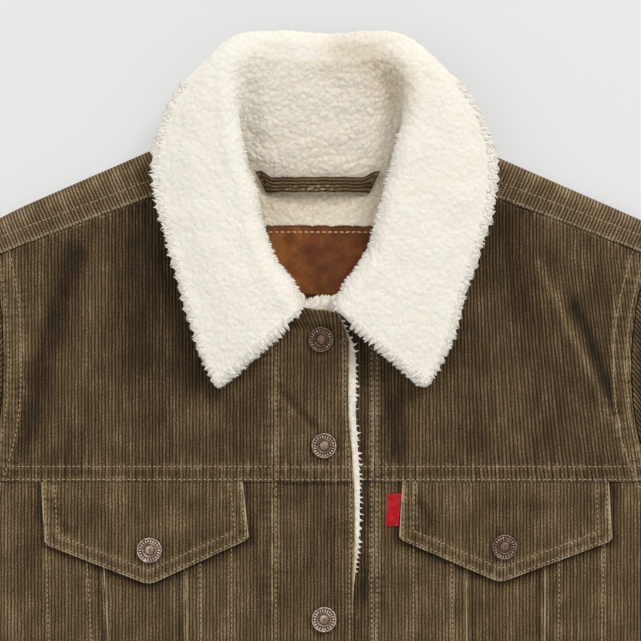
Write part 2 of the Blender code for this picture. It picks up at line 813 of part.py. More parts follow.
def collar_surface():
    """The seam between pile and under collar: a function of s, from -1 at the viewer's left front end
    to 1 at the right one, v, from 0 at the neck seam to 1 at the outer edge, and a distance from it
    on the pile's side."""
    seams = {side: neck_seam(side) for side in (LEFT, RIGHT)}
    tables = {side: [COLLAR_BACK, *COLLAR_STATIONS[side]] for side in (LEFT, RIGHT)}

    def mirrored_row(side, share):
        rows = tables[side]
        second = rows[1]
        before = (-second[0], -second[1], second[2], -second[3], *second[4:])
        return row_at([before, *rows], share)

    def point(s, v, offset=0.0):
        side = LEFT if s < 0 else RIGHT
        share = abs(s)
        roll_x, roll_y, edge_x, edge_y, roll_z, edge_z = mirrored_row(side, share)
        seen_roll, seen_edge = Vector((side * roll_x, roll_y)), Vector((side * edge_x, edge_y))
        leaf = (seen_edge - seen_roll).length
        out = (seen_edge - seen_roll) / leaf
        folded = smoothstep((share - FOLD_SHARES[0]) / (FOLD_SHARES[1] - FOLD_SHARES[0]))
        radius = lerp(FLAT_RADIUS, FOLD_RADIUS, folded)
        middle = seen_roll + out * min(folded * (radius + COLLAR_PILE), 0.5 * leaf)
        middle_z = roll_z - radius
        neck = seams[side](share)
        risen = smoothstep((share - STAND_RISE[0]) / (STAND_RISE[1] - STAND_RISE[0]))
        neck_z = lerp(BACK_LINING_BOTTOM - 0.5 * SEAM, resting_top(neck.x) + STAND_BASE, risen)
        sideways = (neck - middle) - out * (neck - middle).dot(out)

        # In the upright plane along out, with the fold's middle at the origin.
        foot = Vector(((neck - middle).dot(out), neck_z - middle_z))
        rim = Vector((leaf - EDGE_INSET - (middle - seen_roll).length, edge_z - middle_z))
        fold_start = math.tau + math.atan2(foot.y, foot.x) - math.acos(min(radius / foot.length, 1.0))
        fold_end = math.atan2(rim.y, rim.x) + math.acos(min(radius / rim.length, 1.0))

        def on_fold(t, distance=radius):
            angle = lerp(fold_start, fold_end, t)
            return Vector((math.cos(angle), math.sin(angle))) * distance

        row = v * (STAND_ROWS + FOLD_ROWS + LEAF_ROWS)
        turned = clamp((row - STAND_ROWS) / FOLD_ROWS)
        spot = on_fold(turned)
        slip = Vector((0.0, 0.0))
        if row < STAND_ROWS:
            t = row / STAND_ROWS
            spot = foot.lerp(spot, t)
            slip = sideways * (1.0 - t) ** 2
        elif turned == 1.0:
            t = (row - STAND_ROWS - FOLD_ROWS) / LEAF_ROWS
            bulge = LEAF_BULGE * math.sin(math.pi * t) ** 2
            spot = spot.lerp(rim, t) + Vector((0.0, bulge))
        spot += on_fold(turned, offset)
        return Vector((*(middle + out * spot.x + slip), middle_z + spot.y))

    return point


def build_collar():
    surface = collar_surface()

    def face(offset, rounding=0.0):
        def point(u, v):
            s = 2.0 * u - 1.0
            ends = quarter_sine((1.0 - abs(s)) / 0.06) * quarter_sine((1.0 - v) / 0.12)
            return surface(s, v, offset * lerp(1.0, ends, rounding))

        return point

    half_seam = 0.5 * SEAM
    rows = STAND_ROWS + FOLD_ROWS + LEAF_ROWS
    cloth("collar_top", 34, rows, (face(half_seam), face(half_seam + COLLAR_PILE, 0.55)), "sherpa")
    cloth("collar_under", 34, rows, (face(-half_seam - CLOTH), face(-half_seam)), "corduroy")


# ---- Trims and buttons ----


def build_trims():
    def loop_point(u, v, height):
        x = lerp(-LOOP_HALF, LOOP_HALF, u)
        end = abs(x) / LOOP_HALF
        y = LOOP_Y + 2.5 * end**4 + lerp(-0.5, 0.5, v) * LOOP_WIDTH * (1.0 - 0.35 * end**4)
        arch = LOOP_RISE * (1.0 - end**4)
        return Vector((x, y, BACK_LINING_TOP + SEAM + arch + height))

    loop = (lambda u, v: loop_point(u, v, 0.0), lambda u, v: loop_point(u, v, CLOTH))
    cloth("hanger_loop", 12, 2, loop, "corduroy")

    def patch_plan(u, v):
        return lerp(*PATCH_X, u), lerp(*PATCH_Y, v)

    patch_bottom = BACK_LINING_TOP + SEAM
    leather = laid(patch_plan, lambda x, y: patch_bottom, lambda x, y: patch_bottom + CLOTH)
    cloth("neck_patch", 6, 4, leather, "leather")

    def tab_plan(u, v):
        return lerp(*TAB_X, u), lerp(*TAB_Y, v)

    def tab_top(x, y):
        return front_top(x, y) + SEAM + TAB_WALL

    cloth("side_tab", 3, 4, shell(tab_plan, tab_top, TAB_WALL), "ribbon")


def button_mesh():
    work = bmesh.new()
    ring = [work.verts.new(Vector((radius, 0.0, height)) * MM) for radius, height in BUTTON_PROFILE]
    for a, b in zip(ring, ring[1:]):
        work.edges.new((a, b))
    mesh = bpy.data.meshes.new("button")
    work.to_mesh(mesh)
    work.free()
    return mesh


def add_button(name, mesh, x, y, seat):
    button = bpy.data.objects.new(name, mesh)
    JACKET.objects.link(button)
    button.location = place((x, y, seat + SEAM))
    turned = button.modifiers.new("turned", "SCREW")
    turned.steps = turned.render_steps = BUTTON_STEPS
    turned.use_merge_vertices = True
    turned.merge_threshold = 0.00001
    turned.use_smooth_shade = True


def build_buttons():
    mesh = button_mesh()
    mesh.materials.append(MATERIALS["copper"])
    for i, (x, y) in enumerate(FRONT_BUTTONS):
        on_band = y < WAIST_Y
        seat = BAND_TOP + BAND_WALL + SEAM if on_band else front_top(x, y) + placket_lift(x)
        add_button(f"front_button_{i + 1}", mesh, x, y, seat)
    for name, (x, y) in FLAP_BUTTONS.items():
        add_button("flap_button_" + name, mesh, x, y, front_top(x, y) + SEAM + FLAP_WALL + FLAP_CURL)
    for name, side in SIDES.items():
        _, corner, across, along_arm = sleeve_frame(side)
        spot = corner + across.normalized() * CUFF_BUTTON_ACROSS + along_arm * 0.5 * CUFF_LENGTH
        add_button("cuff_button_" + name, mesh, spot.x, spot.y, 3 * CUFF_WALL + 2 * SEAM)


empty_scene()
JACKET = bpy.data.collections.new("sherpa_lined_jacket")
bpy.context.scene.collection.children.link(JACKET)
MATERIALS = make_materials()
build_back()
build_yoke()
build_chests()
build_lower_fronts()
build_plackets()
build_flaps()
build_linings()
build_sleeves()
build_waistband()
build_cuffs()
build_collar()
build_trims()
build_buttons()
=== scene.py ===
"""Looks of the sherpa lined jacket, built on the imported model's frame.

Plan sizes repeat those of the part's source. Every size is in millimetres, on a plan with y = 0 at
the shoulder points beside the neck, and place() turns them into metres. Left and right are the
viewer's. Grids are numpy arrays with the shape (rows, columns) or (rows, columns, 3).
"""

import math

import bpy
import numpy as np
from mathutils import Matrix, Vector


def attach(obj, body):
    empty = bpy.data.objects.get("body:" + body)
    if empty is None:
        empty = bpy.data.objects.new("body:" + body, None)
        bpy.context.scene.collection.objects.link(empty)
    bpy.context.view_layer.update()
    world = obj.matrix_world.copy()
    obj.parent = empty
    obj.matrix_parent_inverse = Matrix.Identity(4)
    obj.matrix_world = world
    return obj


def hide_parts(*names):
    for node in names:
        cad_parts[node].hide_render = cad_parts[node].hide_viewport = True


MM = 0.001
NARROWEST_CUT, LEAST_CUT_AREA = 0.01, 0.31
LEFT, RIGHT = -1, 1
SIDES = {"left": LEFT, "right": RIGHT}
PLAN_MIDDLE_Y = -245.8

# ---- Sizes of the part ----

SEAM = 0.3
CLOTH = 1.5
TROUGH_DEPTH = 2
BACK_LINING_BOTTOM = 1.8
BACK_LINING_TOP = 7.8
FRONT_LINING_BOTTOM = 8.1
FRONT_TOP = 17.9
SLEEVE_WALL = 5
SLEEVE_TOP = 10.3
SLEEVE_EDGE = 0.8
SLEEVE_ROUND = 20

NECK_HALF = 78
BACK_NECK_Y, NECK_SIDE_Y = -28, -7
FRONT_NECK_DEPTH = 84
YOKE_NECK_Y = -27
SHOULDER_X, SHOULDER_Y, SHOULDER_SLOPE = 112, -12, 0.436
YOKE_SEAM_SLOPE = 0.376
SHOULDER_ROUND = 9
SHOULDER_TIP_X = 222
BACK_YOKE_Y = -150
CHEST_Y = -226
UNDERARM_X, UNDERARM_Y = 254, -268
HEM_X = 231
WAIST_Y, HEM_Y = -512, -560
BAND_WALL, BAND_TOP = 3, 6.3
SIDE_EDGE_TOP = 3.3
EDGE_FALL, HEM_FALL = 30, 42
LINING_INSET, LINING_HEM_INSET, LINING_SLACK = 20, 44, 2.7
LINING_NECK_GAP = 3.2
LINING_LOW_Y = WAIST_Y + LINING_HEM_INSET

# Armhole seam, from the underarm up: y, x.
ARMHOLE = [
    (-268, 254),
    (-254, 240.5),
    (-240, 229),
    (-226, 220),
    (-190, 209),
    (-150, 206),
    (-115, 208),
    (-85, 214),
    (-59, 222),
]
ARMHOLE_SHIFT = {LEFT: 4, RIGHT: -3}
CENTER_SEAM = {LEFT: (-90.5, -88), RIGHT: (93.5, 98)}
MIDDLE_SEAM = {LEFT: (-147, -130), RIGHT: (145.5, 142)}
SIDE_ROW = {LEFT: (-181.5, -175), RIGHT: (185, 178)}

PLACKET_SEAM = {LEFT: -32, RIGHT: 34}
UNDER_PLACKET_EDGE = -11
PLACKET_LIFT, PLACKET_RAMP, LINING_RAMP = 4.5, 17, 20
PLACKET_CORNER_X, PLACKET_CORNER_DROP = 7.5, 2.5
# Front edge of the upper placket, from the hem up: y, x, width of the pile that shows past it.
PLACKET_EDGE = [
    (-560, 20, -4),
    (-400, 20, -3),
    (-329, 20, -2),
    (-294, 19.6, 0.8),
    (-265, 20.8, 3.5),
    (-238, 20.8, 5),
    (-215, 19.8, 6),
    (-179, 17, 6.8),
    (-150, 17, 6.6),
    (-132, 16.4, 5.6),
    (-112, 7.5, 3),
]

# Pocket flaps: x of both ends at the seam, and the outer corner, the point and the inner corner.
FLAPS = {
    LEFT: {"top": (-184, -52), "low": [(-181, -266.5), (-113, -293), (-48, -263)]},
    RIGHT: {"top": (187, 52), "low": [(189, -264), (116, -291.5), (50, -263)]},
}
FLAP_WALL, FLAP_CURL = 2, 1.5

# Folds of the fronts: x0, y0, x1, y1, height, half width.
FOLDS = [
    (154, -108, 190, -184, 6, 9),
    (174, -98, 200, -158, -2, 9),
    (-168, -104, -192, -196, -2, 12),
    (-146, -100, -158, -190, 1.6, 14),
    (124, -56, 128, -136, -1.6, 12),
]

SLEEVE_OUTER = [(275, -81), (334, -114), (386, -168), (485, -305), (583, -443)]
SLEEVE_INNER = [(284, -300), (372, -390), (488, -512)]
SLEEVE_GRAIN = np.array([0.616, -0.788])
CUFF_LENGTH, CUFF_WALL = 55, 4
CUFF_START, CUFF_END = 64, 92

# Collar, from the middle of the back to the front end: share of the neck seam, x and y of the
# fold's inner side, x and y of the outer edge, height of the fold and of the outer edge.
COLLAR_BACK = (0, 0, 50, 0, 70, 29, 27)
COLLAR_STATIONS = {
    LEFT: [
        (0.12, 27, 50, 28, 71, 32, 30),
        (0.19, 44, 51, 48, 68, 36, 32),
        (0.25, 53, 43, 68, 55, 39, 34),
        (0.32, 54.5, 28, 84, 39, 40, 34),
        (0.40, 53, 8, 100, 18, 40, 32.5),
        (0.48, 49, -14, 110.5, -12, 40, 31),
        (0.57, 42, -36, 109.5, -42, 39, 30.5),
        (0.66, 38, -58, 100.5, -74, 38, 30),
        (0.76, 31, -80, 90.5, -107, 37, 29),
        (0.88, 18.5, -97.5, 79.5, -142, 36, 28),
        (1, 12, -113, 68, -165, 34.5, 26),
    ],
    RIGHT: [
        (0.12, 27, 50, 28, 71, 32, 30),
        (0.19, 42, 51, 49, 68, 36, 32),
        (0.25, 50, 43, 69, 53, 39, 34),
        (0.32, 52, 28, 85, 37, 40, 34),
        (0.40, 51.5, 8, 101, 16, 40, 32.5),
        (0.48, 46, -15, 111.5, -12, 40, 31),
        (0.57, 40, -38, 112, -40, 39, 30.5),
        (0.66, 34.5, -58, 104, -70, 38, 30),
        (0.76, 29, -77, 93, -102, 37, 29),
        (0.88, 16.5, -94.5, 82.5, -138, 36, 28),
        (1, 6.5, -112, 67, -165, 34.5, 26),
    ],
}
COLLAR_PILE = 6.5
FOLD_RADIUS, FLAT_RADIUS = 4.5, 8
FOLD_SHARES = (0.14, 0.34)
STAND_RISE = (0.28, 0.47)
STAND_ROWS, FOLD_ROWS, LEAF_ROWS = 3, 5, 4
LEAF_BULGE = 2
NECK_END_X = {LEFT: 13, RIGHT: 7}
CLOTH_INSET, PILE_INSET = (5.2, 3), (8, 4.4)
STAND_BASE, STAND_INSET, NECK_GAP = 0.6, 2.4, 1.2

LOOP_RISE = 7
LOOP_SEEN_WIDTH, LOOP_SEEN_HALF, LOOP_SEEN_X, LOOP_SEEN_Y = 10.2, (34, 38.5), -3.2, -36.9
PATCH_X, PATCH_Y = (-43, 39), (-105, -58)
TAB_X, TAB_Y, TAB_WALL = (41, 49.4), (-254, -233), 0.8

FRONT_BUTTONS = [(-1, -133), (1, -202), (1, -315), (1, -427), (1, -536)]
FLAP_BUTTONS = {"left": (-112.6, -270), "right": (118.5, -268)}
CUFF_BUTTON_ACROSS = 82

# ---- Sizes of the looks ----

PITCH = 2.2
COLUMN_STEP = PITCH / 4
WALE_HEIGHT = 0.24
SLIVER = 0.002
WAVE_COUNT = 11
EDGE_ROLL, EDGE_ROLL_WIDTH = 0.7, 0.8
CHEST_LAP, PANEL_LAP, FLAP_LAP = 1.2, -0.8, -1.5
YOKE_ROWS = (1.8, 11)
STRIP_COLUMNS = 70
BAND_ROLL = 0.6
# Creases across the sleeves: share of their length, height.
SLEEVE_CREASES = [(0.42, 1.3), (0.50, -1.2), (0.58, 1.1), (0.10, 0.9), (0.16, -0.8), (0.93, 0.8)]
CHEST_LEAN = {LEFT: 0, RIGHT: 0.13}
ROWS_IN = (3.6, 12.6)
ROWS_END_Y, PLACKET_ROWS_END_Y = -470, -500
STITCH_PITCH, STITCH_SIDES = 3.3, 5
PUCKER_WIDTH = 6.5
CHEST_ROWS_Y = (CHEST_Y + 1.6, CHEST_Y + 10)
PEEK_SHARE = 0.7
FUR_CLUMP, FUR_RISE = 4.4, 0.6
# Painted shade and painted light on the collar: a line, brightening taken away, half width.
COLLAR_TONES = [
    ([(14, 54), (32, 49), (49, 28)], 0.5, 13),
    ([(-46, 44), (-30, 52)], 0.1, 9),
    ([(-52, 44), (-46, -14)], -0.16, 12),
]
TUFT_CLUMP, TUFT_LEVELS, TUFT_ROOT = 6, 4, 0.6
FUZZ_COUNT, FOLD_COUNT, RIM_COUNT, END_COUNT = 900, 1500, 1500, 1700
CURL_COUNT, PEEK_COUNT, FRAY_COUNT = 340, 420, 150
# Kinds of tufts: where they lean, shortest and greatest length, radius, bend and taper.
TUFTS = {
    "fuzz": ((0, -0.5, 0), (1.2, 2), 0.3, 2.2, 0.6),
    "fold": ((0, -0.8, 0.2), (1.6, 3.4), 0.8, 0.8, 0.7),
    "edge": ((0, 0, 0), (2, 4.6), 1.05, 0.3, 0.7),
    "end": ((0, 0, 0), (3.4, 6.4), 1.3, 0.3, 0.55),
    "curl": ((0, 0.2, 0), (1.6, 2.8), 0.45, 1.8, 0.62),
    "placket": ((0.2, 0, -0.4), (1.9, 4), 0.9, 0.4, 0.65),
    "neck": ((0, 0.8, 0), (1.6, 3.4), 1.1, 0.6, 0.7),
    "fray": ((0, 0.4, 0.2), (1, 2.8), 0.22, 1.8, 0.62),
}

# Creases: x and y of each point, then height and half width.
CREASES = [
    (-29, -163, -4, -190, -1, 2.2),
    (-30, -170, -5, -197, 0.9, 3),
    (6, -250, 6, -305, -1, 2.2),
    (-24, -123, 8, -125, -1, 2),
    (-22, -128, -6, -134, -0.8, 2),
    (-30, -228, -10, -240, 0.6, 4),
    (178, -196, 158, -214, 0.8, 7),
    (141, -83, 158, -123, 176.5, -159, 194, -187, 0.9, 3.2),
    (167, -119, 179, -146, 191, -179, -1.3, 3.6),
    (-31, -223.4, 18, -223, 0.4, 3),
    (-31, -227.4, 18, -227, -0.9, 1.8),
    (61, -236, 72, -252, -0.7, 3),
    (-176, -240, -168, -256, -0.7, 3.5),
    (-90, -240, -54, -244, -0.6, 4),
    (70, -176, 110, -196, 0.7, 9),
    (-70, -190, -120, -176, 0.7, 10),
    (-60, -212, -96, -206, -0.6, 7),
    (150, -60, 196, -92, 0.8, 8),
    (-130, -66, -186, -92, 0.8, 9),
    (-160, -82, -168, -104, -180, -137, -187, -172, -196, -203, -1.3, 5.5),
    (-170, -204, -200, -214, 0.7, 6),
]

# Rubbed areas, painted shade and painted highlights: x and y of each point, then brightening and half width.
TONES = [
    (-118, -30, -116, -150, -0.34, 18),
    (-102, -84, -88, -150, -0.28, 13),
    (-51, -229, -48.4, -262, 0.5, 1.3),
    (187, -229, 188.6, -262, 0.5, 1.3),
    (-183, -229, -180.6, -265, 0.35, 1.3),
    (52.5, -229, 50.6, -262, 0.35, 1.3),
    (-84, -160, -62, -174, -0.20, 9),
    (25.5, -126, 26, -300, -0.26, 4),
    (34, -160, 34.5, -216, 0.26, 1.8),
    (66, -172, 96, -130, -0.14, 10),
    (116, -40, 112, -90, -0.14, 12),
    (-29, -164, -4, -191, -0.30, 2.4),
    (-29, -169, -4, -196, 0.10, 3.4),
    (6, -250, 6, -305, -0.22, 2.2),
    (-24, -123.5, 6, -125, -0.24, 2.2),
    (150, -62, 200, -90, 0.08, 12),
    (141, -83, 149, -101, 158, -123, 176.5, -159, 186, -178, 194, -190, 0.30, 3),
    (165, -112, 173, -130, 180, -147, 191, -180, -0.62, 4.2),
    (168, -108, 178, -134, 187, -158, -0.12, 9),
    (190.8, -98, 190.8, -178, 0.5, 0.8),
    (31, -231, 31, -292, -0.22, 9),
    (26, -132, 33, -156, -0.34, 9),
    (48, -170, 68, -174, 0.12, 9),
    (117, -53, 121, -81, 134, -116, -0.20, 9),
    (178, -72, 180, -98, -0.14, 5),
    (-32, -226.9, 18.5, -226.5, -0.6, 1.3),
    (22, -226.9, 34, -226.5, -0.5, 1.3),
    (61, -236, 72, -252, -0.26, 3),
    (112, -242, 180, -240, -0.12, 4),
    (-176, -240, -168, -256, -0.22, 3.5),
    (-90, -240, -54, -244, -0.16, 4),
    (-100, -256, -64, -250, 0.10, 5),
    (-162, -76, -168, -104, -180, -137, -187, -172, -196, -203, -0.50, 8),
    (-182, -98, -191, -140, 0.14, 6),
    (-206, -84, -201, -150, 0.16, 8),
    (-201, -150, -206, -206, 0.16, 8),
    (205, -84, 200, -150, 0.14, 8),
    (200, -150, 205, -206, 0.14, 8),
    (-150, -120, -160, -190, 0.08, 12),
    (122, -52, 127, -130, -0.10, 9),
    (-192, -240, -192, -300, -0.14, 7),
    (-40, -236, -40, -300, -0.10, 7),
    (-208, -240, -208, -310, 0.08, 10),
    (44, -150, 46, -180, -0.14, 9),
    (47, -176, 48, -206, -0.46, 7),
    (140, -70, 150, -200, -0.05, 40),
]
# Painted shadow of the pocket flaps on the panels below: brightening and half width.
FLAP_SHADE, FLAP_SHADE_WIDTH = -0.62, 4.4

# How much brighter a button is than the others, rubbed; the first front button has painted shade.
POLISH_AND_SHADE = {
    "front_button_1": -0.02,
    "front_button_2": 0.17,
    "front_button_3": 0.24,
    "front_button_4": 0.14,
    "front_button_5": 0.14,
    "flap_button_left": 0.24,
    "flap_button_right": 0.06,
}

# Turned profile of the tack buttons, from the middle out: radius, height.
BUTTON_PROFILE = [
    (0, 3.75),
    (1.6, 3.66),
    (2.6, 3.42),
    (3.1, 3.05),
    (3.5, 2.55),
    (3.9, 2.62),
    (4.2, 3.05),
    (4.55, 3.12),
    (4.85, 2.7),
    (5.1, 2.2),
    (5.5, 2.12),
    (5.9, 2.08),
    (6.3, 2.04),
    (6.7, 2),
    (7, 2.35),
    (7.35, 2.9),
    (7.9, 2.95),
    (8.3, 2.55),
    (8.5, 1.8),
    (8.4, 1),
    (7.4, 0.1),
    (6, 0),
]
BUTTON_SIDES, BUTTON_TICKS = 88, 22
# Painted highlights and painted shade on the rings of the tack buttons: radius, brightening and half width.
BUTTON_LIGHT_AND_SHADE = [
    (0, 0.16, 2.4),
    (3.5, -0.28, 0.3),
    (4.4, 0.14, 0.35),
    (5, -0.3, 0.25),
    (7.7, 0.24, 0.5),
    (8.5, -0.5, 0.25),
]
FRAYED_COLUMNS = [0, 1, 2, 3, 5, 8, 141, 144, 146, 147, 148, 149]

# Lights, in metres: name, place, size, power and colour. The camera looks straight down on the middle.
LIGHTS = [
    ("key", (1.9, 2.9, 3.4), 1.8, 114, (1, 0.99, 0.97)),
    ("fill", (-3.2, 0.6, 4), 4, 42, (0.98, 0.99, 1)),
]
LIGHT_TARGET = (0, 0.12, 0)
SKY_STRENGTH = 0.55
VIEW_MIDDLE, VIEW_WIDTH = (-0.0013, 0.1252, 0.025), 0.41665


# ---- Small mathematics ----


def lerp(a, b, t):
    return a + (b - a) * t


def clamp(t):
    return np.clip(t, 0, 1)


def smoothstep(t):
    t = clamp(t)
    return t * t * (3 - 2 * t)


def quarter_sine(t):
    return np.sin(0.5 * math.pi * clamp(t))


def hump(distance, half_width):
    return np.exp(-((distance / half_width) ** 2))


def row_at(rows, key):
    """The other columns of a table at values of its first column, on a smooth curve through the rows."""
    table = np.array(rows, dtype=float)
    keys, last = table[:, 0], len(rows) - 1
    low = np.maximum(np.arange(last + 1) - 1, 0)
    high = np.minimum(np.arange(last + 1) + 1, last)
    slopes = (table[high] - table[low]) / (keys[high] - keys[low])[:, None]
    key = np.clip(np.asarray(key, dtype=float), keys[0], keys[-1])
    i = np.clip(np.searchsorted(keys, key, side="right") - 1, 0, last - 1)
    span = keys[i + 1] - keys[i]
    t = ((key - keys[i]) / span)[..., None]
    change = (slopes[i] * t * (1 - t) ** 2 - slopes[i + 1] * t * t * (1 - t)) * span[..., None]
    return (lerp(table[i], table[i + 1], smoothstep(t)) + change)[..., 1:]


def run_along(points, axis=0):
    """Length from the first row or column of points to each of them."""
    steps = np.linalg.norm(np.diff(points, axis=axis), axis=-1)
    return np.insert(np.cumsum(steps, axis=axis), 0, 0, axis=axis)


def along(points, share):
    """Places on a smooth curve through plan points, at shares of its length."""
    points = np.array(points, dtype=float)
    run = run_along(points)
    return row_at(np.column_stack([run, points]), np.asarray(share) * run[-1])


def graded(stops):
    """Shares from 0 to 1. stops is a table of places and of the step between shares there."""
    marks, steps = zip(*stops)
    spots = [marks[0]]
    while spots[-1] < marks[-1]:
        spots.append(spots[-1] + np.interp(spots[-1], marks, steps))
    spots = np.array(spots) - marks[0]
    return spots / spots[-1]


def waves(x, y, length, seed):
    """Soft noise, mostly between -1 and 1, with bumps about as long as length."""
    rng = np.random.default_rng(seed)
    total = np.zeros(np.broadcast(x, y).shape)
    for _ in range(WAVE_COUNT):
        angle, phase, scale = rng.uniform(0, math.tau), rng.uniform(0, math.tau), rng.uniform(0.7, 1.5)
        turn = math.tau / (2 * length * scale)
        total += np.sin((x * math.cos(angle) + y * math.sin(angle)) * turn + phase)
    return total / math.sqrt(WAVE_COUNT)


def cell_random(cell, salt):
    """A fixed number between 0 and 1 for each whole-number cell."""
    mixed = cell[..., 0] * 73856093 ^ cell[..., 1] * 19349663 ^ cell[..., 2] * 83492791 ^ salt * 2654435761
    mixed = (mixed ^ (mixed >> 13)) * 1274126177
    return ((mixed ^ (mixed >> 16)) & 0xFFFF) / 65535


def clump_distance(points, size):
    """Distance to the nearest and the second nearest of the scattered clump middles, over size."""
    scaled = points / size
    home = np.floor(scaled).astype(np.int64)
    first = second = np.full(points.shape[:-1], math.inf)
    for shift in np.ndindex(3, 3, 3):
        cell = home + np.array(shift) - 1
        middle = cell + np.stack([cell_random(cell, salt) for salt in (1, 2, 3)], axis=-1)
        distance = np.linalg.norm(scaled - middle, axis=-1)
        second = np.minimum(second, np.maximum(first, distance))
        first = np.minimum(first, distance)
    return first, second


def line_distance(points, x, y):
    """Distance from a line of plan points, and the length along it to the nearest spot."""
    best = np.full(np.broadcast(x, y).shape, math.inf)
    run = np.zeros(best.shape)
    start = 0
    for (ax, ay), (bx, by) in zip(points, points[1:]):
        dx, dy = bx - ax, by - ay
        length = math.hypot(dx, dy)
        t = clamp(((x - ax) * dx + (y - ay) * dy) / length**2)
        distance = np.hypot(x - ax - t * dx, y - ay - t * dy)
        nearer = distance < best
        best = np.where(nearer, distance, best)
        run = np.where(nearer, start + t * length, run)
        start += length
    return best, run


# ---- The body's plan and heights ----


def side_x(side, y):
    """Distance from the middle to the armhole seam, or below the underarm to the side seam."""
    y = np.asarray(y, dtype=float)
    low = lerp(UNDERARM_X, HEM_X, clamp((UNDERARM_Y - y) / (UNDERARM_Y - WAIST_Y)))
    share = clamp((y - UNDERARM_Y) / (ARMHOLE[-1][0] - UNDERARM_Y))
    shift = np.where(np.asarray(side) < 0, ARMHOLE_SHIFT[LEFT], ARMHOLE_SHIFT[RIGHT])
    high = row_at(ARMHOLE, y)[..., 0] + shift * np.sin(math.pi * share)
    return np.where(y < UNDERARM_Y, low, high)


def shoulder_y(x):
    return SHOULDER_Y - SHOULDER_SLOPE * (np.abs(x) - SHOULDER_X)


def yoke_seam_y(x):
    return YOKE_NECK_Y - YOKE_SEAM_SLOPE * (np.abs(x) - NECK_HALF)


def back_neck_y(x):
    return lerp(BACK_NECK_Y, NECK_SIDE_Y, clamp(np.abs(x) / NECK_HALF) ** 2.4)


def front_neck_y(x):
    return YOKE_NECK_Y - FRONT_NECK_DEPTH * np.sqrt(np.maximum(1 - (x / NECK_HALF) ** 2, 0))


def fold_sum(folds, x, y):
    total = np.zeros(np.broadcast(x, y).shape)
    for *path, height, half_width in folds:
        distance, _ = line_distance(list(zip(path[::2], path[1::2])), x, y)
        total += height * hump(distance, half_width)
    return total


def fullness(x, y):
    inside = side_x(x, y) - np.abs(x)
    return quarter_sine(inside / EDGE_FALL) * quarter_sine((y - WAIST_Y) / HEM_FALL)


def front_level(x, y):
    """Height of the front shell's outer face without its folds."""
    edge = lerp(SLEEVE_TOP, SIDE_EDGE_TOP, smoothstep((UNDERARM_Y + 12 - y) / 34))
    near_hem = 1 - quarter_sine((y - WAIST_Y) / HEM_FALL)
    from_side = quarter_sine((side_x(x, y) - np.abs(x)) / EDGE_FALL)
    edge = lerp(edge, BAND_TOP, near_hem * from_side)
    return lerp(edge, FRONT_TOP, fullness(x, y))


def front_top(x, y):
    folds = np.maximum(fold_sum(FOLDS, x, y), -TROUGH_DEPTH)
    return front_level(x, y) + folds * fullness(x, y)


def placket_lift(x):
    return PLACKET_LIFT * smoothstep((x - PLACKET_SEAM[LEFT]) / PLACKET_RAMP)


def placket_edge(y):
    return row_at(PLACKET_EDGE, y)


# ---- Meshes ----


def place(points):
    return (np.asarray(points, dtype=float) + np.array([0, -PLAN_MIDDLE_Y, 0])) * MM


def make_mesh(name, points, face_groups, finish, uv=None, wear_and_painted_light=None, sharp_rings=()):
    """A smooth shaded object. face_groups are index arrays, one row a face, facing out or all facing in."""
    points = np.asarray(points, dtype=float).reshape(-1, 3)
    volume = 0
    for faces in face_groups:
        for k in range(1, faces.shape[1] - 1):
            a, b, c = (points[faces[:, j]] for j in (0, k, k + 1))
            volume += np.sum(a * np.cross(b, c))
    if volume < 0:
        face_groups = [faces[:, ::-1] for faces in face_groups]
    corners = np.concatenate([faces.ravel() for faces in face_groups]).astype(np.int32)
    sizes = np.concatenate([np.full(len(faces), faces.shape[1]) for faces in face_groups])
    mesh = bpy.data.meshes.new(name)
    mesh.vertices.add(len(points))
    mesh.vertices.foreach_set("co", place(points).astype(np.float32).ravel())
    mesh.loops.add(len(corners))
    mesh.loops.foreach_set("vertex_index", corners)
    mesh.polygons.add(len(sizes))
    starts = np.concatenate([[0], np.cumsum(sizes)[:-1]]).astype(np.int32)
    mesh.polygons.foreach_set("loop_start", starts)
    mesh.update(calc_edges=True)
    mesh.polygons.foreach_set("use_smooth", np.ones(len(sizes), dtype=bool))
    if uv is not None:
        layer = mesh.uv_layers.new(name="cloth")
        layer.data.foreach_set("uv", np.asarray(uv).reshape(-1, 2)[corners].astype(np.float32).ravel())
    # This attribute holds rubbed wear and, on many pieces, painted shade and painted highlights.
    if wear_and_painted_light is not None:
        layer = mesh.attributes.new("wear_and_painted_light", "FLOAT", "POINT")
        layer.data.foreach_set("value", np.asarray(wear_and_painted_light).ravel().astype(np.float32))
    if len(sharp_rings):
        ends = np.empty(2 * len(mesh.edges), dtype=np.int32)
        mesh.edges.foreach_get("vertices", ends)
        ring_of = np.zeros(len(points), dtype=int)
        for number, ring in enumerate(sharp_rings, 1):
            ring_of[ring] = number
        a, b = ring_of[ends.reshape(-1, 2)].T
        layer = mesh.attributes.new("sharp_edge", "BOOLEAN", "EDGE")
        layer.data.foreach_set("value", (a > 0) & (a == b))
    mesh.materials.append(MATERIALS[finish])
    item = bpy.data.objects.new(name, mesh)
    bpy.context.scene.collection.objects.link(item)
    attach(item, "root")
    return item


def grid_faces(ids):
    return np.stack([ids[:-1, :-1], ids[:-1, 1:], ids[1:, 1:], ids[1:, :-1]], axis=-1).reshape(-1, 4)


def rim_walls(faces, step):
    """Faces between the open edges of a sheet and those of its copy, whose ids are step higher."""
    start, end = faces.ravel(), np.roll(faces, -1, axis=1).ravel()
    alone = ~np.isin(start * step + end, end * step + start)
    start, end = start[alone], end[alone]
    return np.stack([end, start, start + step, end + step], axis=-1)


def kept(count, every):
    return np.unique(np.append(np.arange(0, count, every), count - 1))


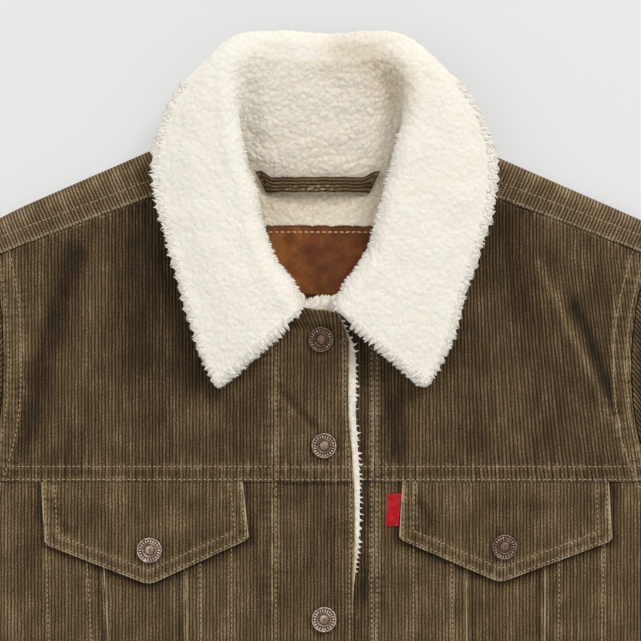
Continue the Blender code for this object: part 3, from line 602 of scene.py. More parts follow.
def side_wall(upper, lower, spots):
    """Triangles between a fine edge line and a coarse one. spots are the fine places of the coarse ids."""
    faces = []
    for k in range(len(spots) - 1):
        start, end = spots[k], spots[k + 1]
        middle = (start + end) // 2
        faces += [(upper[i + 1], upper[i], lower[k]) for i in range(start, middle)]
        faces.append((lower[k], lower[k + 1], upper[middle]))
        faces += [(upper[i + 1], upper[i], lower[k + 1]) for i in range(middle, end)]
    return faces


def closed_sheet(name, top, under, finish, every, wear_and_painted_light, uv=None):
    """A closed piece of cloth between two grids in mm. The under one keeps one row and column in every,
    and its plan over PITCH is the cloth's layer where no uv is given."""
    rows, columns = top.shape[:2]
    row_spots, column_spots = kept(rows, every[0]), kept(columns, every[1])
    chosen = np.ix_(row_spots, column_spots)
    low = under[chosen]
    upper = np.arange(rows * columns).reshape(rows, columns)
    lower = upper.size + np.arange(low.shape[0] * low.shape[1]).reshape(low.shape[:2])
    walls = side_wall(upper[0], lower[0], column_spots)
    walls += side_wall(upper[:, -1], lower[:, -1], row_spots)
    walls += side_wall(upper[-1, ::-1], lower[-1, ::-1], columns - 1 - column_spots[::-1])
    walls += side_wall(upper[::-1, 0], lower[::-1, 0], rows - 1 - row_spots[::-1])
    points = np.concatenate([top.reshape(-1, 3), low.reshape(-1, 3)])
    uv = under[..., :2] / PITCH if uv is None else uv
    uv = np.concatenate([uv.reshape(-1, 2), uv[chosen].reshape(-1, 2)])
    wear_and_painted_light = np.zeros((rows, columns)) + wear_and_painted_light
    wear_and_painted_light = np.concatenate([wear_and_painted_light.ravel(), wear_and_painted_light[chosen].ravel()])
    rings = [np.concatenate([ids[0], ids[-1], ids[:, 0], ids[:, -1]]) for ids in (upper, lower)]
    groups = [grid_faces(upper), grid_faces(lower)[:, ::-1], np.array(walls)]
    return make_mesh(name, points, groups, finish, uv, wear_and_painted_light, rings)


def grid(*parts):
    return np.stack(np.broadcast_arrays(*parts), axis=-1).astype(float)


def unit_rows(vectors):
    return vectors / np.maximum(np.linalg.norm(vectors, axis=-1, keepdims=True), 1e-9)


def grid_normals(points):
    return unit_rows(np.cross(np.gradient(points, axis=1), np.gradient(points, axis=0)))


def cut_sizes(points):
    """Flat width, length and area in metres of the cloth that a grid in mm stands for."""
    across = np.linalg.norm(np.diff(points, axis=1), axis=-1)
    upward = np.linalg.norm(np.diff(points, axis=0), axis=-1)
    width = max(across.sum(axis=1).max() * MM, NARROWEST_CUT)
    length = max(upward.sum(axis=0).max() * MM, NARROWEST_CUT)
    sides = np.cross(points[1:, 1:] - points[:-1, :-1], points[1:, :-1] - points[:-1, 1:])
    area = 0.5 * np.linalg.norm(sides, axis=-1).sum() * MM * MM
    return width, length, min(area, width * length)


def dress(node, cut=None, rests_on=()):
    """Hides the part of the node that a piece stands in for. Where it is cloth, cut is a grid of its cut or
    the sizes of that.
    """
    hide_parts(node)
    if cut is not None:
        width, length, area = cut if isinstance(cut, tuple) else cut_sizes(cut)
        list(rests_on)
        max(area, LEAST_CUT_AREA * width * length)


# ---- Materials ----

WARM_WHITE = (1, 0.97, 0.92, 1)


class Shader:
    """A principled material, and short calls for the nodes that feed it."""

    def __init__(self, name, **constants):
        self.material = bpy.data.materials.new(name)
        self.material.use_nodes = True
        self.tree = self.material.node_tree
        self.surface = self.tree.nodes["Principled BSDF"]
        for key, value in constants.items():
            self.surface.inputs[key.replace("_", " ")].default_value = value
        self.mm = self.mapped(self.add("TexCoord", output=3), *[1 / MM] * 3)

    def add(self, kind, inputs=None, output=0, **settings):
        node = self.tree.nodes.new("ShaderNode" + kind)
        for key, value in settings.items():
            setattr(node, key, value)
        for key, value in (inputs or {}).items():
            self.feed(node.inputs[key], value)
        return node.outputs[output]

    def feed(self, socket, value):
        if isinstance(value, bpy.types.NodeSocket):
            self.tree.links.new(value, socket)
        else:
            socket.default_value = value

    def math(self, operation, a, b=0, c=0):
        return self.add("Math", {0: a, 1: b, 2: c}, operation=operation)

    def scaled(self, value, factor, plus=0):
        return self.math("MULTIPLY_ADD", value, factor, plus)

    def mapped(self, vector, *scale):
        return self.add("Mapping", {"Vector": vector, "Scale": scale})

    def cloth(self, across=1, upward=1):
        return self.mapped(self.add("UVMap", uv_map="cloth"), across, upward, 1)

    def cloth_axis(self, k):
        return self.add("SeparateXYZ", {0: self.cloth()}, output=k)

    # Reads the attribute of rubbed wear, painted shade and painted highlights.
    def wear_and_painted_light(self):
        return self.add("Attribute", output=2, attribute_name="wear_and_painted_light")

    def noise(self, vector, scale, detail=2, roughness=0.5, output=0):
        inputs = {"Vector": vector, "Scale": scale, "Detail": detail, "Roughness": roughness}
        return self.add("TexNoise", inputs, output)

    def finish(self, tone, stops, height, distance):
        """Feeds a ramp of picture colours from 0 to 255 by tone, and a bump by height."""
        node = self.tree.nodes.new("ShaderNodeValToRGB")
        elements = node.color_ramp.elements
        while len(elements) < len(stops):
            elements.new(0.5)
        for element, (spot, *color) in zip(elements, stops):
            element.position = spot
            element.color = linear(*color)
        self.feed(node.inputs[0], tone)
        self.feed(self.surface.inputs["Base Color"], node.outputs[0])
        if distance:
            normal = self.add("Bump", {"Height": height, "Distance": distance, "Strength": 1})
            self.feed(self.surface.inputs["Normal"], normal)
        return self.material


def linear(*color):
    """A picture colour from 0 to 255 as linear light."""
    parts = np.array(color) / 255
    return (*np.where(parts <= 0.04045, parts / 12.92, ((parts + 0.055) / 1.055) ** 2.4), 1)


def corduroy(name, bump):
    """Corduroy with its wales along the v of the cloth layer, one wale to each unit of u."""
    s = Shader(name, Roughness=0.92, Sheen_Weight=0.25, Sheen_Roughness=0.45, Specular_IOR_Level=0.25)
    s.surface.inputs["Sheen Tint"].default_value = linear(150, 128, 98)
    wander = s.noise(s.cloth(0.6, 0.22), 1, 1)
    shifted = s.math("SUBTRACT", s.scaled(wander, 0.5, s.cloth_axis(0)), 0.25)
    wave = s.math("COSINE", s.scaled(shifted, math.tau))
    # Painted shade: the narrow valleys between the wales are coloured darker.
    wale = s.math("SUBTRACT", 1, s.math("POWER", s.scaled(wave, -0.5, 0.5), 3))
    grain = s.noise(s.cloth(2.6, 1.3), 1.5, 3, 0.75)
    fibre = s.noise(s.cloth(8, 4.5), 1.5, 2, 0.7)
    grain = s.scaled(grain, 0.7, s.scaled(fibre, 0.5))
    streak = s.noise(s.cloth(0.9, 0.07), 1)
    blotch = s.noise(s.mm, 1 / 18, 4, 0.6)
    nap = s.scaled(s.scaled(grain, 2.6, -1.04), s.math("ADD", streak, 0.52))
    tone = s.scaled(s.scaled(s.scaled(wale, 0.85, 0.16), nap), s.scaled(blotch, 0.9, 0.57))
    colors = [(0, 28, 21, 11), (0.42, 82, 64, 39), (0.8, 136, 110, 77), (1, 178, 163, 132)]
    relief = s.scaled(wale, bump, s.scaled(grain, 0.35))
    return s.finish(s.scaled(s.wear_and_painted_light(), 0.6, tone), colors, relief, 0.0009)


def sherpa():
    s = Shader("sherpa", Roughness=1, Sheen_Weight=0.35, Sheen_Roughness=0.5, Sheen_Tint=WARM_WHITE,
               Specular_IOR_Level=0.1, Subsurface_Weight=0.5, Subsurface_Radius=(1, 0.9, 0.75),
               Subsurface_Scale=0.0016)
    color = s.noise(s.mm, 0.35, 1, output=1)
    bent = s.add("MixRGB", {0: 0.5, 1: s.mm, 2: color}, blend_type="ADD")
    cells = {"Vector": bent, "Scale": 0.5, "Smoothness": 0.4, "Randomness": 1}
    # Painted shade darkens the valleys between the curls, and the attribute adds painted shade and light.
    valley = s.math("POWER", s.add("TexVoronoi", cells, feature="SMOOTH_F1"), 2)
    fibres = s.noise(s.mm, 1.7, 3, 0.65)
    shade = s.scaled(s.noise(s.mm, 0.05), 0.16, s.scaled(valley, s.scaled(s.wear_and_painted_light(), 0.35, 0.14)))
    shade = s.math("ADD", s.math("SUBTRACT", s.scaled(fibres, 0.1, shade), 0.12), s.wear_and_painted_light())
    colors = [(0, 245, 241, 231), (0.3, 239, 231, 216), (0.7, 224, 213, 191), (1, 199, 182, 152)]
    return s.finish(shade, colors, s.scaled(fibres, 0.35, s.math("SUBTRACT", 1, valley)), 0.00035)


def fur_strand():
    # The tufts glow faintly: painted light that stands for light scattered in the pile.
    s = Shader("sherpa_tuft", Roughness=0.95, Sheen_Weight=0.3, Specular_IOR_Level=0.15,
               Emission_Color=WARM_WHITE, Emission_Strength=0.1)
    colors = [(0.3, 243, 236, 223), (0.7, 251, 246, 237)]
    return s.finish(s.noise(s.mm, 0.4), colors, s.noise(s.mm, 5), 0.0002)


def thread(name, dark, light):
    s = Shader(name, Roughness=0.6, Sheen_Weight=0.2, Specular_IOR_Level=0.35)
    return s.finish(s.noise(s.mm, 2.2), [(0.3, *dark), (0.7, *light)], s.noise(s.mm, 6, 1), 0.00012)


def leather():
    s = Shader("leather", Specular_IOR_Level=0.2)
    pores = s.add("TexVoronoi", {"Vector": s.mm, "Scale": 1.1, "Randomness": 1}, feature="DISTANCE_TO_EDGE")
    grain = s.noise(s.mm, 0.9, 5, 0.65)
    tone = s.scaled(s.noise(s.mm, 0.085, 4, 0.6), 1.1, s.scaled(grain, 0.35))
    s.feed(s.surface.inputs["Roughness"], s.scaled(grain, 0.4, 0.38))
    creases = s.math("MINIMUM", s.scaled(pores, 2.5), 0.5)
    colors = [(0.12, 48, 27, 12), (0.42, 84, 46, 23), (0.68, 114, 64, 32), (0.95, 150, 92, 46)]
    return s.finish(s.math("SUBTRACT", tone, s.wear_and_painted_light()), colors, s.scaled(grain, 0.5, creases), 0.0003)


def ribbon():
    s = Shader("ribbon", Roughness=0.8, Sheen_Weight=0.05, Specular_IOR_Level=0.2)
    gaps = (0.5, 0.42)
    warp, weft = (s.math("SINE", s.scaled(s.cloth_axis(k), math.tau / gap)) for k, gap in enumerate(gaps))
    weave = s.scaled(warp, weft)
    tone = s.math("ADD", s.scaled(weave, 0.18, s.noise(s.mm, 0.3, 3)), s.wear_and_painted_light())
    return s.finish(tone, [(0.2, 178, 8, 22), (0.55, 208, 18, 34), (1, 226, 76, 84)], weave, 0.00012)


def copper():
    s = Shader("copper", Metallic=0.95)
    patina = s.noise(s.mm, 0.55, 4, 0.65)
    scratches = s.noise(s.mm, 3.5, 3, 0.7)
    s.feed(s.surface.inputs["Roughness"], s.scaled(scratches, 0.4, 0.3))
    # The attribute brings painted highlights and shade; the top stops are the painted highlights' colours.
    tone = s.math("ADD", patina, s.math("SUBTRACT", s.wear_and_painted_light(), 0.5))
    dark = [(0.05, 26, 19, 15), (0.42, 88, 66, 53), (0.72, 132, 108, 92)]
    bright = [(0.9, 184, 160, 141), (1, 226, 214, 203)]
    return s.finish(tone, dark + bright, s.scaled(patina, 0.5, scratches), 0.00008)


def paper_floor():
    s = Shader("floor", Roughness=0.9, Emission_Color=(1, 1, 1, 1), Emission_Strength=0.46)
    tone = s.noise(s.mm, 3 * MM)
    return s.finish(tone, [(0.3, 157, 157, 157), (0.7, 158, 158, 158)], 0, 0)


# ---- Stitches and tufts ----


def resampled(points, pitch):
    """Places every pitch along a line of plan points, and the direction of the line there."""
    points = np.array(points, dtype=float)
    run = run_along(points)
    spots = np.arange(0.5 * pitch, run[-1], pitch)
    ends = [np.column_stack([np.interp(spots + k, run, line) for line in points.T]) for k in (-0.5, 0.5)]
    return 0.5 * (ends[0] + ends[1]), unit_rows(ends[1] - ends[0])


def tube_faces(sides, rings):
    around = [(k, (k + 1) % sides) for k in range(sides)]
    return [(a + low, b + low, b + low + sides, a + low + sides)
            for low in range(0, sides * (rings - 1), sides) for a, b in around]


def copies(templates, points):
    """Groups of faces for every row of points, from those of one row."""
    shift = points.shape[1] * np.arange(len(points))[:, None, None]
    return [(np.array(template) + shift).reshape(-1, len(template[0])) for template in templates]


def add_stitches(name, lines, height, finish="thread", pitch=STITCH_PITCH, length=2.5, radius=0.42):
    """One closed thread for each stitch, lying in the surface height(x, y) along the lines."""
    parts = [resampled(points, pitch) for points in lines]
    middle = np.concatenate([part[0] for part in parts])
    direction = np.concatenate([part[1] for part in parts])
    rng = np.random.default_rng(len(middle))
    turn = rng.normal(0, 0.07, len(middle))
    direction = direction + np.column_stack([-direction[:, 1], direction[:, 0]]) * turn[:, None]
    reach = 0.5 * length * rng.uniform(0.9, 1.08, len(middle))[:, None]
    ends = [middle + direction * reach * k for k in (-1, 1)]
    low, high = (np.column_stack([end, height(end[:, 0], end[:, 1])]) for end in ends)
    axis = unit_rows(high - low)
    across = unit_rows(np.column_stack([-axis[:, 1], axis[:, 0], np.zeros(len(axis))]))
    upward = np.cross(axis, across)
    center = 0.5 * (low + high) + upward * 0.45 * radius
    rings = []
    for share in (-0.34, 0.34):
        for angle in math.tau * (np.arange(STITCH_SIDES) + 0.5) / STITCH_SIDES:
            spoke = across * math.cos(angle) + upward * math.sin(angle)
            rings.append(center + axis * reach * 2 * share + spoke * radius)
    tips = [center + axis * reach * k - upward * 0.6 * radius for k in (-1, 1)]
    points = np.stack([*rings, *tips], axis=1)
    around = [(k, (k + 1) % STITCH_SIDES) for k in range(STITCH_SIDES)]
    caps = [(a, 2 * STITCH_SIDES, b) for a, b in around]
    caps += [(a + STITCH_SIDES, b + STITCH_SIDES, 2 * STITCH_SIDES + 1) for a, b in around]
    item = make_mesh(name, points, copies((tube_faces(STITCH_SIDES, 2), caps), points), finish)
    return item


def add_tufts(name, kind, roots, normals, seed, finish="tuft"):
    """Short curled strands of pile, of a kind from TUFTS, along normals."""
    lean, length, radius, bend, taper = TUFTS[kind]
    rng = np.random.default_rng(seed)
    count = len(roots)
    loose = rng.normal(0, 1, (count, 3)) + lean
    toward = unit_rows(loose - normals * np.sum(loose * normals, axis=1, keepdims=True))
    across = np.cross(normals, toward)
    size = rng.uniform(*length, count)[:, None]
    curl = rng.uniform(0.55, 1.3, count)[:, None] * bend
    spot = roots - normals * TUFT_ROOT
    points = []
    for share in np.arange(TUFT_LEVELS) / (TUFT_LEVELS - 1):
        ahead = normals * np.cos(curl * share) + toward * np.sin(curl * share)
        side = toward * np.cos(curl * share) - normals * np.sin(curl * share)
        thick = radius * (1 - taper * share) * rng.uniform(0.85, 1.15, count)[:, None]
        for turn in np.arange(3) * math.tau / 3:
            points.append(spot + (across * math.cos(turn) + side * math.sin(turn)) * thick)
        spot = spot + ahead * size / TUFT_LEVELS
    points = np.stack([*points, spot], axis=1)
    sides, tip = tube_faces(3, TUFT_LEVELS), 3 * TUFT_LEVELS
    caps = [(2, 1, 0)] + [(tip - 3 + k, tip - 3 + (k + 1) % 3, tip) for k in range(3)]
    item = make_mesh(name, points, copies((sides, caps), points), finish)
    return item


# ---- Fronts ----


def armhole_line(side, inset, low=UNDERARM_Y):
    y = np.linspace(low, ARMHOLE[-1][0] - 2, 24)
    return list(zip(side * (side_x(side, y) - inset), y))


def seam_line(pair, inset):
    """A seam between lower panels, moved inset to the viewer's right."""
    end = lerp(*pair, (CHEST_Y - ROWS_END_Y) / (CHEST_Y - WAIST_Y))
    return [(pair[0] + inset, CHEST_Y), (end + inset, ROWS_END_Y)]


def ripple(run, seed):
    """Puckers along a seam, about one in every 5 to 6 mm, that come and go."""
    steady = np.sin(run * math.tau / 5.3 + 0.9 * np.sin(run / 17 + seed))
    slow = 0.6 + 0.4 * np.sin(run / 9 + 2 * seed)
    return steady * slow + 0.3 * np.sin(run * math.tau / 8.1 + seed)


def wale_profile(across):
    """0 in the narrow valleys between the wales, and 1 on their broad crests."""
    return 1 - (0.5 - 0.5 * np.cos(math.tau * across / PITCH)) ** 2.2


class Front:
    """A panel of the fronts with upright wales. left and right are functions of y, and low_y and high_y of
    x. base is the height of its outer face, and lap what its low and high edges rise by. Each of rows is
    a line of stitches or a seam: its points, how deep it is drawn in, and how high it puckers."""

    def __init__(self, left, right, low_y, high_y, base, rows, lap=(0, 0), tone=0, edge_wear=0.7):
        self.left, self.right = left, right
        self.low_y, self.high_y = low_y, high_y
        self.base, self.rows, self.lap = base, rows, lap
        self.tone, self.edge_wear = tone, edge_wear
        self.fan = self.lean = 0

    def border(self, x, y):
        beside = np.minimum(x - self.left(y), self.right(y) - x)
        return np.minimum(beside, np.minimum(y - self.low_y(x), self.high_y(x) - y))

    def height(self, x, y):
        x, y = np.broadcast_arrays(np.asarray(x, dtype=float), np.asarray(y, dtype=float))
        total = self.base(x, y)
        full = fullness(x, y)
        total = total + full * (0.45 * waves(x, y, 34, 5) + fold_sum(CREASES, x, y))
        flat = 1 - 0.5 * hump(self.border(x, y), 0.9)
        for number, (points, depth, pucker) in enumerate(self.rows):
            distance, run = line_distance(points, x, y)
            total = total - depth * hump(distance, 1.1)
            total = total + pucker * ripple(run, number + points[0][0]) * hump(distance, PUCKER_WIDTH)
            flat = flat * (1 - 0.8 * hump(distance, 0.8) * (depth > 0))
        low_lap, high_lap = self.lap
        total = total + low_lap * hump(y - self.low_y(x), 5) + high_lap * hump(self.high_y(x) - y, 4)
        total = total - EDGE_ROLL * hump(self.border(x, y), EDGE_ROLL_WIDTH)
        return total + WALE_HEIGHT * flat * (2 * wale_profile(self.across(x, y)) - 1)

    def across(self, x, y):
        """Place across the wales, which fan out on the placket's top and lean towards the armholes."""
        fan = smoothstep((y + 127) / 3) * clamp((14 - x) / 34)
        lean = self.lean * smoothstep((np.abs(x) - 50) / 160) * np.minimum(y + 80, 0)
        return x + self.fan * fan * (y + 127) + lean

    def wear_and_painted_light(self, x, y):
        """How much brighter than plain cloth: rubbed edges and seams, painted light and shade on puckers, and
        the TONES.
        """
        rubbed = clamp(0.5 + 0.8 * waves(x, y, 7, 3))
        # A high edge that is tucked under the next panel isn't rubbed.
        tucked = 3 * (self.lap[1] < -0.5)
        beside = np.minimum(x - self.left(y), self.right(y) - x)
        edge = np.minimum(beside, np.minimum(y - self.low_y(x), self.high_y(x) - y + tucked))
        worn = self.edge_wear * hump(edge, 0.95) * (0.45 + 0.55 * rubbed)
        painted_pucker_light = 0 * x
        for number, (points, depth, pucker) in enumerate(self.rows):
            distance, run = line_distance(points, x, y)
            beside = hump(np.abs(distance - 1.3), 0.8) * (depth > 0)
            worn = np.maximum(worn, 0.34 * beside * (0.2 + 0.8 * rubbed))
            # Painted light and shade that follow the puckers.
            gather = ripple(run, number + points[0][0]) * hump(distance, PUCKER_WIDTH)
            painted_pucker_light = painted_pucker_light + 0.17 * gather * min(pucker / 0.3, 1.5)
        return self.tone + worn + painted_pucker_light + fold_sum(TONES, x, y) + 0.07 * waves(x, y, 22, 17)

    def build(self, name, shares, floor_height, every):
        y = self.low_y(0) + (self.high_y(0) - self.low_y(0)) * np.linspace(0, 1, 60)
        first, last = np.min(self.left(y)), np.max(self.right(y))
        inner = np.arange(math.floor(first / COLUMN_STEP) + 1, math.ceil(last / COLUMN_STEP)) * COLUMN_STEP
        columns = np.concatenate([[first], inner, [last]])
        slivers = SLIVER * np.arange(len(columns))
        x = np.broadcast_to(columns, (len(shares), len(columns)))
        v = np.asarray(shares)[:, None]
        for _ in range(3):
            y = lerp(self.low_y(x), self.high_y(x), v)
            x = np.maximum(columns, self.left(y) + slivers)
            x = np.minimum(x, self.right(y) - slivers[::-1])
        y = lerp(self.low_y(x), self.high_y(x), v)
        top = grid(x, y, self.height(x, y))
        under = grid(x, y, floor_height(x, y))
        uv = grid(self.across(x, y) / PITCH, y / PITCH)
        return closed_sheet(name, top, under, "corduroy", every, self.wear_and_painted_light(x, y), uv), under

    def sew(self, node, shares, floor_height, rests_on, every=(4, 8)):
        """Builds the panel and its stitch rows, in place of its solid."""
        item, cut = self.build(node + "_cloth", shares, floor_height, every)
        stitched = [points for points, depth, _ in self.rows if depth > 0]
        seams = [add_stitches(node + "_stitches", stitched, self.height)] if stitched else []
        dress(node, cut, [rests_on])


class LowerFront(Front):
    """A panel below the chest seam, with a painted shadow under its pocket flap, and painted highlights and
    shade at its seams.
    """

    def wear_and_painted_light(self, x, y):
        shade = 0 * x
        for flap in FLAPS.values():
            outline = [(flap["top"][0], CHEST_Y), *flap["low"], (flap["top"][1], CHEST_Y)]
            distance, _ = line_distance(outline, x, y)
            shade = shade + FLAP_SHADE * hump(distance, FLAP_SHADE_WIDTH)
        # Painted highlight on the folded edge of each seam, and painted shadow beside it.
        for pair, lit in zip((*CENTER_SEAM.values(), *MIDDLE_SEAM.values()), (1, -1, 1, 1)):
            distance = lit * (x - lerp(*pair, (CHEST_Y - y) / (CHEST_Y - WAIST_Y)))
            shade = shade + 0.5 * hump(distance - 1, 0.9) - 0.26 * hump(distance + 2.2, 2.6)
        return super().wear_and_painted_light(x, y) + shade


def shell_bottom(top):
    return lambda x, y: top(x, y) - CLOTH


def level(value):
    """A straight edge: the same value at every place."""
    return lambda spots: np.full(np.shape(spots), value)


CHEST_SHARES = graded([(0, 0.9), (14, 1), (20, 2.3), (140, 2.3), (152, 1.4), (170, 1.2)])
LOWER_STEPS = [(0, 1), (14, 1.2), (20, 2), (76, 2), (96, 10), (286, 13)]
LOWER_SHARES = 1 - graded(LOWER_STEPS)[::-1]
PLACKET_SHARES = 1 - graded([(0, 1.3), (190, 1.7), (215, 9), (400, 12)])[::-1]
FLAP_SHARES = graded([(0, 0.9), (12, 1.1), (18, 1.8), (52, 1.8), (66, 1.2)])


def build_chests():
    for name, side in SIDES.items():
        seam_x = PLACKET_SEAM[side] + side * SEAM

        def outer(y):
            return side * (side_x(side, np.minimum(y, ARMHOLE[-1][0] - 15)) - SEAM)

        def high(x):
            return np.where(np.abs(x) < NECK_HALF, front_neck_y(x), yoke_seam_y(x)) - SEAM

        yoke_edge = [(side * NECK_HALF, YOKE_NECK_Y), (side * 225, yoke_seam_y(225))]
        placket_row = [(seam_x + side * 1.6, CHEST_Y), (seam_x + side * 1.6, -100)]
        rows = [
            *(([(seam_x, y), (side * 220, y)], 0.6, 0.3) for y in CHEST_ROWS_Y),
            (armhole_line(side, ROWS_IN[0], CHEST_Y), 0.55, 0.35),
            (armhole_line(side, ROWS_IN[1], CHEST_Y), 0.55, 0.35),
            (yoke_edge, 0, 0.25),
            (placket_row, 0.5 * (side == RIGHT), 0.25),
        ]
        edges = (*(outer, level(seam_x))[::-side], level(CHEST_Y + SEAM), high)
        front = Front(*edges, front_top, rows, lap=(CHEST_LAP, -0.4), tone=-0.05, edge_wear=0.5)
        front.lean = CHEST_LEAN[side]
        front.sew("chest_" + name, CHEST_SHARES, shell_bottom(front_top), "front_lining_" + name)


def build_lower_fronts():
    for name, side in SIDES.items():

        def between(pair, shift):
            return lambda y: lerp(*pair, clamp((CHEST_Y - y) / (CHEST_Y - WAIST_Y))) + side * shift

        center, middle, seam_x = CENTER_SEAM[side], MIDDLE_SEAM[side], PLACKET_SEAM[side]
        lines = [(seam_x, seam_x), center, middle]
        inner_edges = [between(line, SEAM) for line in lines]
        outer_edges = [between(line, -SEAM) for line in lines[1:]]
        outer_edges.append(lambda y: side * (side_x(side, y) - SEAM))
        rows = {
            "front_center_": [
                (seam_line(center, -side * 10), 0.5, 0.22),
                (seam_line((side * 59.5, side * 59.5), 0), 0.5, 0.15),
                (seam_line((seam_x + side * 1.8,) * 2, 0), 0.45 * (side == RIGHT), 0.25),
            ],
            "front_middle_": [],
            "front_side_": [
                (seam_line(middle, side * 10), 0.5, 0.22),
                (seam_line(SIDE_ROW[side], 0), 0.5, 0.15),
                *((armhole_line(side, inset), 0.5, 0.2) for inset in ROWS_IN),
            ],
        }
        for (panel, lines), inner, outer in zip(rows.items(), inner_edges, outer_edges):
            edges = (*(outer, inner)[::-side], level(WAIST_Y + SEAM), level(CHEST_Y - SEAM))
            front = LowerFront(*edges, front_top, lines, lap=(0, PANEL_LAP), tone=0.07, edge_wear=0.9)
            front.sew(panel + name, LOWER_SHARES, shell_bottom(front_top), "front_lining_" + name)


def build_plackets():
    def over_base(x, y):
        return front_top(x, y) + placket_lift(x)

    def over_right(y):
        return placket_edge(y)[..., 0]

    def over_high(x):
        x = np.minimum(x, PLACKET_CORNER_X)
        lowered = PLACKET_CORNER_DROP * smoothstep(x / PLACKET_CORNER_X) + 2.4 * hump(x + 2, 28)
        return front_neck_y(x) - lowered

    def placket_rows(upright, ends):
        crossing = [([(ends[0], y), (ends[1], y)], 0.5, 0.3) for y in CHEST_ROWS_Y]
        return [*((line, 0.5, pucker) for line, pucker in upright), *crossing]

    low = level(WAIST_Y + SEAM)
    edge_y = np.linspace(PLACKET_ROWS_END_Y, -128, 40)
    seam_x = PLACKET_SEAM[LEFT]
    upright = [([(seam_x + 1.7, PLACKET_ROWS_END_Y), (seam_x + 1.7, -108)], 0.25)]
    upright.append((list(zip(over_right(edge_y) - 2.2, edge_y)), 0.2))
    rows = placket_rows(upright, (seam_x + 1, 17.5))
    over = Front(level(seam_x + SEAM), over_right, low, over_high, over_base, rows)
    over.fan = 0.55
    over.sew("placket_over", PLACKET_SHARES, shell_bottom(over_base), "front_lining_left", (4, 4))

    seam_x = PLACKET_SEAM[RIGHT]
    upright = [([(seam_x - 2, PLACKET_ROWS_END_Y), (seam_x - 2, -103)], 0.25)]
    rows = placket_rows(upright, (26, seam_x - 1))
    high = lambda x: front_neck_y(x) - SEAM
    under = Front(level(UNDER_PLACKET_EDGE), level(seam_x - SEAM), low, high, front_top, rows)
    under.sew("placket_under", PLACKET_SHARES, shell_bottom(front_top), "front_lining_right", (4, 4))


def inset_corner_line(points, distance):
    """A line of plan points moved distance to its right."""
    points = np.array(points, dtype=float)
    runs = np.diff(points, axis=0)
    runs /= np.linalg.norm(runs, axis=1, keepdims=True)
    normals = np.column_stack([runs[:, 1], -runs[:, 0]])
    moved = [points[0] + normals[0] * distance]
    for k in range(1, len(points) - 1):
        middle = normals[k - 1] + normals[k]
        moved.append(points[k] + middle * distance / (0.5 * np.dot(middle, middle)))
    moved.append(points[-1] + normals[-1] * distance)
    return [tuple(point) for point in moved]


def build_flaps():
    top_y = CHEST_Y - SEAM
    for name, side in SIDES.items():
        corners = sorted(FLAPS[side]["low"])
        left_top, right_top = sorted(FLAPS[side]["top"])

        def side_line(top_x, low):
            return lambda y: lerp(low[0], top_x, clamp((y - low[1]) / (top_y - low[1])))

        def low_y(x):
            rounding = ((1.6, 1.6), (0.8, 2.4), (1.6, 1.6))
            rounded = sum(rise * hump(x - corner[0], half) for corner, (rise, half) in zip(corners, rounding))
            return np.interp(x, *zip(*corners)) + rounded

        def bottom(x, y):
            v = clamp((y - low_y(x)) / (top_y - low_y(x)))
            return front_top(x, y) + SEAM + FLAP_CURL * (1 - v) ** 1.4

        def base(x, y):
            return bottom(x, y) + FLAP_WALL

        outline = [(left_top, top_y + 2), *corners, (right_top, top_y + 2)]
        rows = [(inset_corner_line(outline, -inset), 0.5, 0.2) for inset in (2, 8.6)]
        edges = (side_line(left_top, corners[0]), side_line(right_top, corners[2]), low_y, level(top_y))
        front = Front(*edges, base, rows, lap=(0, FLAP_LAP), tone=0.05, edge_wear=1.25)
        front.sew("flap_" + name, FLAP_SHARES, bottom, "front_middle_" + name)


# ---- Back, yoke, sleeves and bands ----


def build_back():
    y = np.linspace(WAIST_Y + SEAM, BACK_YOKE_Y - SEAM, 40)[:, None]
    x = lerp(SEAM - side_x(LEFT, y), side_x(RIGHT, y) - SEAM, np.linspace(0, 1, 60))
    top, under = grid(x, y, CLOTH), grid(x, y, 0)
    wear_and_painted_light = 0.7 * hump(y - BACK_YOKE_Y, 2) + 0.5 * hump(y - WAIST_Y, 2)
    item = closed_sheet("back_panel_cloth", top, under, "corduroy_flat", (1, 1), wear_and_painted_light)
    dress("back_panel", under)


